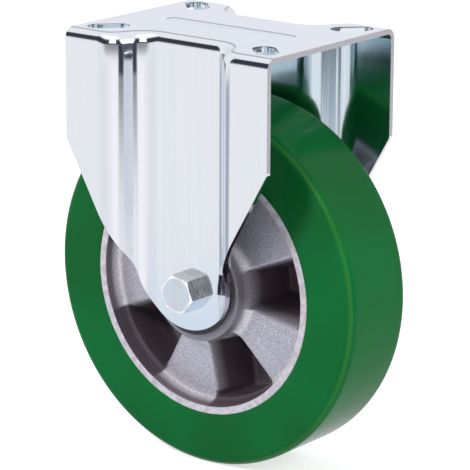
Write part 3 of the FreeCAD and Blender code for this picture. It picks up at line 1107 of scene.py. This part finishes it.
def write_back(made: bpy.types.Object, work: BMesh, crease: float) -> None:
    """Ends the work on a mesh and lets large flat faces keep their normals beside narrow rounded edges.

    Args:
        made: the object that gets the mesh.
        work: the worked mesh, which is freed.
        crease: the smallest angle of a sharp edge, in degrees.
    """
    work.to_mesh(made.data)
    work.free()
    shade(made.data, crease)
    modifier = made.modifiers.new("even_shading", "WEIGHTED_NORMAL")
    modifier.keep_sharp = True
    modifier.weight = FLAT_WEIGHT
    settle(made, modifier)


# The object's parts

@dataclass
class Workshop:
    """What every part needs: the frame, the shared patterns, the trees and the finishes made so far."""

    frame: dict[str, Any]
    effects: Effects = field(default_factory=Effects)
    lathe: LatheTree = field(default_factory=LatheTree)
    web: WebTree = field(default_factory=WebTree)
    thread: ThreadTree = field(default_factory=ThreadTree)
    finishes: dict[Finish, bpy.types.Material] = field(default_factory=dict)
    copy_weld: float = 0.002 * MM
    flat_angle: float = 0.4

    def finish(self, kind: Finish) -> bpy.types.Material:
        """The material of a finish, made once."""
        if kind not in self.finishes:
            self.finishes[kind] = kind.material(self.effects)
        return self.finishes[kind]

    @property
    def axle_height(self) -> float:
        """Height of the axle, from the tyre's box."""
        low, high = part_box("tyre")
        return (low.z + high.z) / 2

    def dress(self, node: str, kind: Finish) -> None:
        """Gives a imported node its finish.

        Args:
            node: the node's name.
            kind: the finish.
        """
        data = self.frame["nodes"][node].data
        data.materials.clear()
        data.materials.append(self.finish(kind))
        log.info("dressed %s with %s", node, kind.name)

    def keep(self, made: bpy.types.Object, body: str, slot: Slot, *nodes: str) -> None:
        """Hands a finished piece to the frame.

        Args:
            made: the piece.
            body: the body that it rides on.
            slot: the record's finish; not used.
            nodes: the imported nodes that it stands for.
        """
        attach(made, body)
        if nodes:
            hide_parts(*nodes)
        log.info("%s: %d faces on body %s", made.name, len(made.data.polygons), body)

    def turned(self, name: str, section: Section, steps: int, kind: Finish) -> bpy.types.Object:
        """A turned piece from its section, with its faces still to be shaded.

        Args:
            name: the piece's name.
            section: its closed outline.
            steps: how many steps it has round the axle.
            kind: its finish.

        Returns:
            The piece's object.
        """
        made = section.mesh(name)
        self.lathe.run(made, {"Steps Round": steps, "Axle Height": self.axle_height,
                              "Finish": self.finish(kind)})
        return made

    def copied(self, name: str, node: str, kinds: Sequence[Finish]) -> tuple[bpy.types.Object, BMesh]:
        """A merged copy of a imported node, with its flat faces whole, ready to be worked on.

        Args:
            name: the new piece's name.
            node: the node to copy.
            kinds: its finishes.

        Returns:
            The new object and its editable mesh.
        """
        made = bpy.data.objects.new(name, bpy.data.meshes.new(name))
        bpy.context.scene.collection.objects.link(made)
        for kind in kinds:
            made.data.materials.append(self.finish(kind))
        work = bmesh.new()
        work.from_mesh(self.frame["nodes"][node].data)
        bmesh.ops.remove_doubles(work, verts=work.verts, dist=self.copy_weld)
        for face in work.faces:
            face.material_index = 0
        bmesh.ops.dissolve_limit(work, angle_limit=math.radians(self.flat_angle), verts=work.verts,
                                 edges=work.edges)
        return made, work


@dataclass
class Bracket:
    """The folded sheet bracket.

    Its angles are in degrees. The limits square, tilted and along are parts of a face's unit normal.
    """

    shop: Workshop
    sheet: float = 3.0 * MM
    plate_and_fold: float = 9.0 * MM
    edge_break: float = 0.35 * MM
    cut_angle: float = 45.0
    crease: float = 30.0
    sheet_margin: float = 0.1 * MM
    end_margin: float = 0.5 * MM
    square: float = 0.95
    tilted: float = 0.3
    along: float = 0.04
    face_finish: ZincFinish = ZincFinish("bright_zinc_sheet", fold_line=0.6, drawn_in=0.20)
    edge_finish: ShearedFinish = ShearedFinish()
    # painted shade: inward faces get a darker, bluer copy of the zinc, also rougher
    shaded_inside_finish: ZincFinish = ZincFinish("shaded_zinc_inside", tint=(0.72, 0.80, 0.86),
                                           shade=(0.56, 0.67, 0.74), rough_low=0.10, rough_high=0.18)

    def build(self) -> None:
        """Makes the bracket with broken edges and duller cut faces."""
        kinds = [self.face_finish, self.edge_finish, self.shaded_inside_finish]
        made, work = self.shop.copied("folded_bracket", "fork_bracket", kinds)
        plate_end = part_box("fork_bracket")[1].x
        for face in work.faces:
            face.material_index = self._zone(face, plate_end)
        soften(work, [edge for edge in sharp_edges(work, self.cut_angle)
                      if len({face.material_index for face in edge.link_faces}) == 2], self.edge_break)
        for face in work.faces:
            if face.material_index == SheetZone.PLATED_EDGE:
                face.material_index = SheetZone.FACE
        write_back(made, work, self.crease)
        self.shop.keep(made, "bracket", Slot.SHEET, "fork_bracket")

    def _zone(self, face: bmesh.types.BMFace, plate_end: float) -> SheetZone:
        """A face's zone, by its normal and place.

        Args:
            face: the face.
            plate_end: how far the plate reaches along X.

        Returns:
            The sheet's outside, its inside in a darker painted shade, its torn edge at the plate's ends, or
            one of its other cut edges, which are plated as the outside is.
        """
        normal, place = face.normal, face.calc_center_median()
        in_plate = place.z > -self.sheet - self.sheet_margin
        if abs(normal.x) > self.square and abs(place.x) > plate_end - self.end_margin:
            return SheetZone.TORN_EDGE if place.z > -self.plate_and_fold else SheetZone.PLATED_EDGE
        cut = abs(normal.z) < self.tilted if in_plate else abs(normal.y) < self.along
        if cut:
            return SheetZone.PLATED_EDGE
        if in_plate and normal.z > self.tilted:
            return SheetZone.FACE
        return SheetZone.INSIDE if normal.z < -self.tilted or normal.y * place.y < 0 else SheetZone.FACE


@dataclass
class Wheel:
    """The tyre on its cast centre, in millimetres and degrees."""

    shop: Workshop
    tyre_edge: float = 5.0
    tyre_foot: float = 0.4
    tyre_steps: int = 320
    tyre_crease: float = 50.0
    arc_steps: int = 14
    hub_face: float = 58.0
    hub_draft: float = 0.13
    hub_edge: float = 1.2
    hub_fillet: float = 7.0
    web_hub_span: float = 40.0
    web_rim_span: float = 31.0
    rim_end_wall: float = 4.0
    rim_web_wall: float = 6.5
    rim_fillet: float = 3.5
    rim_inner_edge: float = 0.4
    rim_outer_edge: float = 0.35
    bearing_bore: float = 47.0
    bearing_depth: float = 15.0
    bearing_edge: float = 0.4
    middle_bore: float = 41.0
    pocket_count: int = 5
    first_pocket: float = 77.0
    mouth_half_angle: float = 21.0
    shaded_half_angle: float = 19.0
    floor_half_angle: float = 11.5
    past_middle: float = 9.5
    set_back: float = 3.0
    hub_land: float = 0.3
    rim_land: float = 0.8
    rim_draft: float = 0.6
    mouth_run: float = 5.0
    mouth_rounding: float = 8.0
    floor_rounding: float = 6.0
    corner_rounding: float = 9.0
    centre_steps: int = 360
    centre_crease: float = 60.0
    section_step: float = 1.65
    hub_wall_step: float = 0.25
    rim_wall_step: float = 0.12
    hub_wall_margins: Stretch = (0.4, 0.8)
    rim_wall_margins: Stretch = (0.3, 0.1)
    radius: float = field(init=False)
    width: float = field(init=False)
    rim: float = field(init=False)
    hub: float = field(init=False)

    def __post_init__(self) -> None:
        """Reads the wheel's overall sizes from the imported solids."""
        low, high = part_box("tyre")
        inner_low, inner_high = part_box("wheel_centre")
        self.radius = (high.x - low.x) / 2 / MM
        self.width = (high.y - low.y) / MM
        self.rim = (inner_high.x - inner_low.x) / 2 / MM
        self.hub = (inner_high.y - inner_low.y) / MM

    @property
    def land_start(self) -> Point2:
        """Radius and y of the web's face at the hub."""
        return self._hub_radius(self.web_hub_span / 2), self.web_hub_span / 2

    @property
    def land_end(self) -> Point2:
        """Radius and y of the web's face at the rim."""
        return self.rim - self.rim_web_wall, self.web_rim_span / 2

    @property
    def pocket_step(self) -> float:
        """The angle from one pocket to the next, in radians."""
        return FULL_TURN / self.pocket_count

    def build(self) -> None:
        """Makes the tyre and the wheel centre."""
        self._tyre()
        self._centre()

    def _tyre(self) -> None:
        """The polyurethane ring."""
        face = self.width / 2
        section = Section([(self.rim, -face, self.tyre_foot), (self.radius, -face, self.tyre_edge),
                           (self.radius, face, self.tyre_edge), (self.rim, face, self.tyre_foot)],
                          steps=self.arc_steps)
        kind = TyreFinish("green_polyurethane", self.shop.axle_height, self.radius * MM, face * MM)
        made = self.shop.turned("cast_tyre", section, self.tyre_steps, kind)
        outward(made.data, self.tyre_crease)
        self.shop.keep(made, "wheel", Slot.TYRE, "tyre")

    def _hub_radius(self, out: float) -> float:
        """Radius of the hub's drafted side at a distance out from the middle plane."""
        return self.hub_face / 2 + self.hub_draft * (self.hub / 2 - out)

    def _section(self) -> Section:
        """The casting's outline before its pockets are sunk, finer where their steep walls come.

        Returns:
            The closed outline.
        """
        face, hub, bore = self.width / 2, self.hub / 2, self.bearing_bore / 2
        half = [(self.middle_bore / 2, self.bearing_depth, 0.0), (bore, self.bearing_depth, 0.0),
                (bore, hub, self.bearing_edge), (self.hub_face / 2, hub, self.hub_edge),
                (*self.land_start, self.hub_fillet), (*self.land_end, self.rim_fillet),
                (self.rim - self.rim_end_wall, face, self.rim_inner_edge),
                (self.rim, face, self.rim_outer_edge)]
        mirrored = [(radius, -along, rounding) for radius, along, rounding in reversed(half)]
        hub_low, hub_high = self.hub_face / 2, self._hub_radius(-self.past_middle)
        wall = self.land_end[0] - self.rim_land
        (hub_inside, hub_outside), (rim_inside, rim_outside) = self.hub_wall_margins, self.rim_wall_margins
        return Section(half + mirrored, steps=self.arc_steps, longest=self.section_step,
                       zones=((hub_low + hub_inside, hub_high + hub_outside, self.hub_wall_step),
                              (wall - self.rim_draft - rim_inside, wall + rim_outside, self.rim_wall_step)))

    def _casting_finish(self) -> CastingFinish:
        """The casting's finish, told where its ring, web and pockets are.

        Returns:
            The finish.
        """
        (start_radius, start_along), (end_radius, end_along) = self.land_start, self.land_end
        return CastingFinish(
            "die_cast_aluminium", self.shop.axle_height, ring_radius=(self.rim - self.rim_end_wall) * MM,
            ring_along=self.width / 2 * MM, land_start=(start_radius * MM, start_along * MM),
            land_end=(end_radius * MM, end_along * MM), rim_wall=end_radius * MM,
            first_pocket=math.radians(self.first_pocket), pocket_step=self.pocket_step,
            pocket_reach=math.radians(self.shaded_half_angle))

    def _centre(self) -> None:
        """The casting: a turned body with pockets sunk into its web."""
        kind = self._casting_finish()
        made = self.shop.turned("cast_wheel_centre", self._section(), self.centre_steps, kind)
        depth = self.hub / 2 - self.set_back + self.past_middle
        rim_foot = self.land_end[0] - self.rim_land - self.rim_draft
        self.shop.web.run(made, {
            "Axle Height": self.shop.axle_height, "First Pocket": math.radians(self.first_pocket),
            "Pocket Step": self.pocket_step, "Floor Half Angle": math.radians(self.floor_half_angle),
            "Angle Draft": math.radians(self.mouth_half_angle - self.floor_half_angle) / (depth * MM),
            "Floor Past Middle": self.past_middle * MM,
            "Hub Radius": (self._hub_radius(-self.past_middle) + self.hub_land) * MM,
            "Hub Draft": self.hub_draft, "Rim Radius": rim_foot * MM, "Rim Draft": self.rim_draft / depth,
            "Mouth Start": self.land_start[0] * MM, "Mouth Run": self.mouth_run * MM,
            "Mouth Rounding": self.mouth_rounding * MM, "Floor Rounding": self.floor_rounding * MM,
            "Corner Rounding": self.corner_rounding * MM, "Finish": self.shop.finish(kind)})
        outward(made.data, self.centre_crease)
        self.shop.keep(made, "wheel", Slot.CASTING, "wheel_centre")


@dataclass
class Axle:
    """The bolt with its nut, washer, bushes and dust caps.

    The thread's sizes are in millimetres and all angles in degrees. The limits that start with looks and
    leans are parts of a face's unit normal.
    """

    shop: Workshop
    pitch: float = 1.75
    thread_depth: float = 1.07
    thread_clearance: float = 0.02
    thread_crease: float = 40.0
    tip_chamfer: float = 1.5
    bolt_radius: float = 6.0
    rows_per_pitch: int = 10
    steps_round: int = 48
    edge_break: float = 0.3 * MM
    hexagon_angles: Stretch = (50.0, 70.0)
    hexagon_crease: float = 18.0
    looks_along: float = 0.99
    leans_along: float = 0.01
    looks_up: float = 0.6
    looks_sideways: float = 0.9
    zinc: ZincFinish = ZincFinish("bright_zinc_bolt", tint=(0.88, 0.90, 0.93), shade=(0.70, 0.72, 0.76),
                                  rough_low=0.05, rough_high=0.12, streaks=1100.0, streaks_along=300.0,
                                  relief=0.06)
    # painted highlight: the upward flats and the head's chamfer in a paler, less metallic copy of the zinc
    highlit_upper_flat: ZincFinish = ZincFinish("highlit_zinc_flat", tint=(0.97, 0.97, 0.98), shade=(0.84, 0.85, 0.88),
                                        rough_low=0.20, rough_high=0.32, streaks=1500.0, relief=0.06,
                                        metal=0.2)
    # painted reflection: the flats facing along X in sharp near-black and white stripes
    reflection_streaked_flat: ZincFinish = ZincFinish("reflection_streaked_zinc_flat", tint=(0.97, 0.98, 1.0), shade=(0.10, 0.10, 0.12),
                                       rough_low=0.06, rough_high=0.12, streaks=6500.0, streaks_along=60.0)
    forged: ZincFinish = ZincFinish("forged_zinc_face", tint=(0.86, 0.88, 0.91), shade=(0.68, 0.70, 0.74),
                                    rough_low=0.24, rough_high=0.36, streaks=700.0, streaks_along=700.0,
                                    relief=0.10)
    steel: PlainFinish = PlainFinish("turned_steel", (0.60, 0.61, 0.63), (0.45, 0.46, 0.48), 0.3, 1.0)
    plastic: PlainFinish = PlainFinish("black_plastic", (0.022, 0.022, 0.025), (0.012, 0.012, 0.014), 0.16)
    nylon: PlainFinish = PlainFinish("nylon_ring", (0.62, 0.68, 0.76), (0.50, 0.56, 0.66), 0.4)

    def build(self) -> None:
        """Makes the bolt and nut, and dresses the rest."""
        self._bolt()
        self._thread()
        self._nut()
        for node in ("axle_sleeve", "bearing_spacer", *(f"{side.value}_side_bush" for side in Side)):
            self.shop.dress(node, self.steel)
        for side in Side:
            self.shop.dress(f"{side.value}_dust_cap", self.plastic)
        self.shop.dress("nut_insert", self.nylon)
        self.shop.dress("nut_washer", self.zinc)

    @property
    def thread_start(self) -> float:
        """Where the modelled thread starts along the axle, in metres."""
        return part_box("nut_insert")[0].y

    def _bolt(self) -> None:
        """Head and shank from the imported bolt, as far as the modelled thread."""
        finishes = [self.zinc, self.forged, self.highlit_upper_flat, self.reflection_streaked_flat]
        made, work = self.shop.copied("hexagon_bolt", "axle_bolt", finishes)
        bmesh.ops.bisect_plane(work, geom=[*work.verts, *work.edges, *work.faces],
                               plane_co=(0, self.thread_start, 0), plane_no=(0, 1, 0), clear_outer=True)
        bmesh.ops.holes_fill(work, edges=[edge for edge in work.edges if edge.is_boundary])
        for face in work.faces:
            face.material_index = self._zone(face.normal)
        self._break_hexagon(made, work)
        self.shop.keep(made, "bracket", Slot.BOLT, "axle_bolt")

    def _thread(self) -> None:
        """A real thread from the nut to the bolt's tip."""
        shop, start = self.shop, self.thread_start
        made = Section([(0.0, 0.0, 0.0)]).mesh("bolt_thread")
        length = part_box("axle_bolt")[1].y - start
        rows = math.ceil(length / (self.pitch * MM)) * self.rows_per_pitch + 1
        shop.thread.run(made, {
            "Rows": rows, "Steps Round": self.steps_round, "Axle Height": shop.axle_height, "Start": start,
            "Length": length, "Pitch": self.pitch * MM,
            "Major Radius": (self.bolt_radius - self.thread_clearance) * MM,
            "Minor Radius": (self.bolt_radius - self.thread_depth) * MM, "Tip Chamfer": self.tip_chamfer * MM,
            "Finish": shop.finish(self.zinc)})
        outward(made.data, self.thread_crease)
        shop.keep(made, "bracket", Slot.BOLT)

    def _zone(self, normal: Vector) -> BoltZone:
        """A bolt face's zone, by its normal: the head's chamfer has the upper flats' paler finish with its
        painted highlight.

        Args:
            normal: the face's normal.

        Returns:
            The zone.
        """
        if normal.y < -self.leans_along:
            return BoltZone.HEAD_END if normal.y < -self.looks_along else BoltZone.UPPER_FLAT
        if normal.y > self.leans_along:
            return BoltZone.PLATED
        if normal.z > self.looks_up:
            return BoltZone.UPPER_FLAT
        return BoltZone.SIDE_FLAT if abs(normal.x) > self.looks_sideways else BoltZone.PLATED

    def _nut(self) -> None:
        """The lock nut with broken edges."""
        made, work = self.shop.copied("hexagon_lock_nut", "lock_nut", [self.zinc])
        self._break_hexagon(made, work)
        self.shop.keep(made, "bracket", Slot.BOLT, "lock_nut")

    def _break_hexagon(self, made: bpy.types.Object, work: BMesh) -> None:
        """Breaks the edges between a hexagon's flats and ends the work on its mesh."""
        soften(work, sharp_edges(work, *self.hexagon_angles), self.edge_break)
        write_back(made, work, self.hexagon_crease)


@dataclass
class Bearings:
    """The two ball bearings, hidden in the hub."""

    shop: Workshop
    ground: PlainFinish = PlainFinish("ground_steel", (0.66, 0.67, 0.69), (0.55, 0.56, 0.58), 0.12, 1.0,
                                      2500.0)
    pressed: PlainFinish = PlainFinish("pressed_shield", (0.52, 0.52, 0.54), (0.42, 0.42, 0.44), 0.28, 1.0)

    def build(self) -> None:
        """Dresses every piece of both bearings."""
        for side in Side:
            for piece in ("outer_ring", "inner_ring", "balls"):
                self.shop.dress(f"{side.value}_bearing_{piece}", self.ground)
            for piece in ("cage", "outer_shield", "inner_shield"):
                self.shop.dress(f"{side.value}_bearing_{piece}", self.pressed)


# The studio

@dataclass(frozen=True)
class Patch:
    """A part of the surroundings that gloss shows: its bearing, height and fading, in degrees."""

    bearing: float
    spread: float
    low: float
    high: float
    colour: Colour
    soft: float = 3.0
    fade: float = 3.0


@dataclass(frozen=True)
class Lamp:
    """A square lamp that looks at the axle: its place and size in metres, and its power in watts."""

    name: str
    place: Point3
    size: float
    power: float


@dataclass
class Studio:
    """Camera, lamps, floor and surroundings.

    The focal length is in pixels of a picture of the width given before it, and the sensor's width is in
    millimetres. Angles are in degrees.
    """

    shop: Workshop
    picture: float = 470.0
    focal_length: float = 2674.9
    sensor: float = 36.0
    farthest: float = 50.0
    azimuth: float = 38.06
    elevation: float = 15.40
    roll: float = 0.28
    place: Vector = Vector((0.8632, -1.0974, 0.2704))
    floor_radius: float = 6.0
    floor_sides: int = 96
    floor_gap: float = 0.05 * MM
    floor_tint: Colour = (0.86, 0.86, 0.87)
    floor_rough: float = 0.9
    floor_gloss: float = 0.1
    floor_glow: float = 0.62
    white: Colour = (1.0, 1.0, 1.0)
    ambient: Colour = (0.38, 0.38, 0.3876)
    surroundings: Colour = (0.94, 0.945, 0.96)
    lamps: Sequence[Lamp] = (
        Lamp("key", (-0.24, -1.67, 1.28), 0.35, 24.0),
        Lamp("side", (-1.6, -1.2, 0.3), 0.5, 8.5),
        Lamp("right", (1.9, 0.5, 1.0), 1.2, 17.0),
        Lamp("under_plate", (1.7, -0.2, -0.06), 0.5, 8.0),
    )
    patches: Sequence[Patch] = (
        Patch(280.0, 69.0, 9.0, 50.0, (0.040, 0.043, 0.062), 3.0, 8.0),
        Patch(280.0, 75.0, 55.0, 80.0, (1.30, 1.30, 1.32), 3.0, 5.0),
        Patch(343.0, 11.0, -12.8, 14.0, (0.045, 0.052, 0.075), 2.5, 2.0),
        Patch(2.0, 9.0, -14.5, 14.0, (0.52, 0.60, 0.68), 3.0, 2.5),
        Patch(9.0, 21.0, -11.8, 14.0, (0.090, 0.095, 0.120), 2.0, 0.5),
        Patch(357.0, 9.0, 14.0, 44.0, (1.4, 1.4, 1.4), 2.0, 3.0),
        Patch(193.0, 14.0, -26.0, -6.0, (0.42, 0.46, 0.52), 6.0, 6.0),
        Patch(264.0, 16.0, -32.0, 0.0, (0.86, 0.87, 0.905), 9.0, 6.0),
        Patch(128.0, 40.0, -4.0, 30.0, (0.86, 0.875, 0.92), 18.0, 6.0),
        Patch(232.0, 60.0, -60.0, -16.8, (0.70, 0.81, 0.92), 0.8, 0.8),
        Patch(306.0, 14.0, 26.0, 50.0, (3.0, 3.0, 3.1), 3.0, 3.0),
        Patch(314.0, 12.0, -30.0, -2.0, (1.02, 1.02, 1.03), 5.0, 5.0),
    )
    smallest_level: float = 0.001

    def build(self) -> None:
        """Sets up the whole studio."""
        self._camera()
        self._floor()
        for lamp in self.lamps:
            self._lamp(lamp)
        self._world()
        bpy.context.scene.view_settings.view_transform = "Standard"

    def _camera(self) -> None:
        """A long lens at the photograph's angle."""
        azimuth, elevation = math.radians(self.azimuth), math.radians(self.elevation)
        back = Vector((math.sin(azimuth) * math.cos(elevation), -math.cos(azimuth) * math.cos(elevation),
                       math.sin(elevation)))
        right = Vector((math.cos(azimuth), math.sin(azimuth), 0.0))
        up = back.cross(right)
        turn = Matrix.Rotation(math.radians(self.roll), 3, back)
        axes = Matrix((turn @ right, turn @ up, back)).transposed()
        data = bpy.data.cameras.new("camera")
        data.sensor_width = self.sensor
        data.lens = self.focal_length * self.sensor / self.picture
        data.clip_end = self.farthest
        camera = bpy.data.objects.new("camera", data)
        camera.matrix_world = Matrix.Translation(self.place) @ axes.to_4x4()
        bpy.context.scene.collection.objects.link(camera)
        bpy.context.scene.camera = camera

    def _floor(self) -> None:
        """A pale disc under the wheel, white to the camera where nothing shades it."""
        low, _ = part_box("tyre")
        work = bmesh.new()
        bmesh.ops.create_circle(work, cap_ends=True, radius=self.floor_radius, segments=self.floor_sides)
        mesh = bpy.data.meshes.new("floor")
        work.to_mesh(mesh)
        work.free()
        mesh.transform(Matrix.Translation((0.0, 0.0, low.z - self.floor_gap)))
        floor = bpy.data.objects.new("floor", mesh)
        bpy.context.scene.collection.objects.link(floor)
        material = bpy.data.materials.new("pale_floor")
        tree = FinishTree(material, self.shop.effects)
        seen = tree.node("ShaderNodeLightPath").outputs
        bright = tree.math("MAXIMUM", seen["Is Camera Ray"], seen["Is Glossy Ray"])
        bright = tree.math("MAXIMUM", bright, seen["Is Transmission Ray"])
        tree.set_surface(Base_Color=(*self.floor_tint, 1.0), Roughness=self.floor_rough,
                         Specular_IOR_Level=self.floor_gloss, Emission_Color=(*self.white, 1.0),
                         Emission_Strength=tree.times(bright, self.floor_glow))
        mesh.materials.append(material)
        floor.visible_glossy = False

    def _lamp(self, kind: Lamp) -> None:
        """One lamp, unseen in gloss.

        Args:
            kind: its place, size and power.
        """
        data = bpy.data.lights.new(kind.name, "AREA")
        data.size = kind.size
        data.energy = kind.power
        lamp = bpy.data.objects.new(kind.name, data)
        lamp.location = kind.place
        aim = Vector((0.0, 0.0, self.shop.axle_height))
        lamp.rotation_mode = "QUATERNION"
        lamp.rotation_quaternion = (aim - lamp.location).to_track_quat("-Z", "Y")
        lamp.visible_glossy = False
        bpy.context.scene.collection.objects.link(lamp)

    def _world(self) -> None:
        """White to the camera, even light on the object, and a studio's bright and dark parts in gloss."""
        world = bpy.data.worlds.new("studio")
        world.use_nodes = True
        bpy.context.scene.world = world
        tree = Tree(world.node_tree)
        tree.tree.nodes.clear()
        x, y, z = tree.separate(tree.node("ShaderNodeTexCoord").outputs["Generated"])
        level = tree.math("SQRT", tree.plus(tree.times(x, x), tree.times(y, y)))
        level = tree.math("MAXIMUM", level, self.smallest_level)
        colour: Any = self.surroundings
        for patch in self.patches:
            colour = tree.mix(self._share(tree, patch, (x, y, z, level)), colour, patch.colour)
        seen = tree.node("ShaderNodeLightPath").outputs
        glossy = tree.mix(seen["Is Glossy Ray"], self.ambient, colour)
        shown = tree.math("MAXIMUM", seen["Is Camera Ray"], seen["Is Transmission Ray"])
        background = tree.node("ShaderNodeBackground")
        tree.fill(background, Color=tree.mix(shown, glossy, self.white))
        tree.fill(tree.node("ShaderNodeOutputWorld"), Surface=background.outputs[0])

    def _share(self, tree: Tree, patch: Patch, direction: Sequence[Socket]) -> Socket:
        """How much of a patch shows in a direction.

        Args:
            tree: the world's tree.
            patch: the patch.
            direction: the direction's three parts, and how long it is on the level.

        Returns:
            The share's socket.
        """
        x, y, z, level = direction
        bearing, spread, soft = (math.radians(angle) for angle in (patch.bearing, patch.spread, patch.soft))
        towards = tree.plus(tree.times(x, math.cos(bearing)), tree.times(y, math.sin(bearing)))
        towards = tree.math("DIVIDE", towards, level)
        across = tree.ramp(towards, math.cos(spread + soft), math.cos(spread - soft))
        rise, fall = ([math.sin(math.radians(height + fade)) for fade in (-patch.fade, patch.fade)]
                      for height in (patch.low, patch.high))
        return tree.times(across, tree.window(z, rise, fall))


def corners(box: tuple[Vector, Vector]) -> list[list[float]]:
    """A box's corners as plain lists."""
    return [[float(v) for v in corner] for corner in box]


def main() -> None:
    """Loads the frame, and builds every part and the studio."""
    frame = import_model()
    shop = Workshop(frame)
    for part in (Bracket(shop), Wheel(shop), Axle(shop), Bearings(shop), Studio(shop)):
        part.build()
        log.info("built %s", type(part).__name__)


if __name__ == "__main__":
    main()
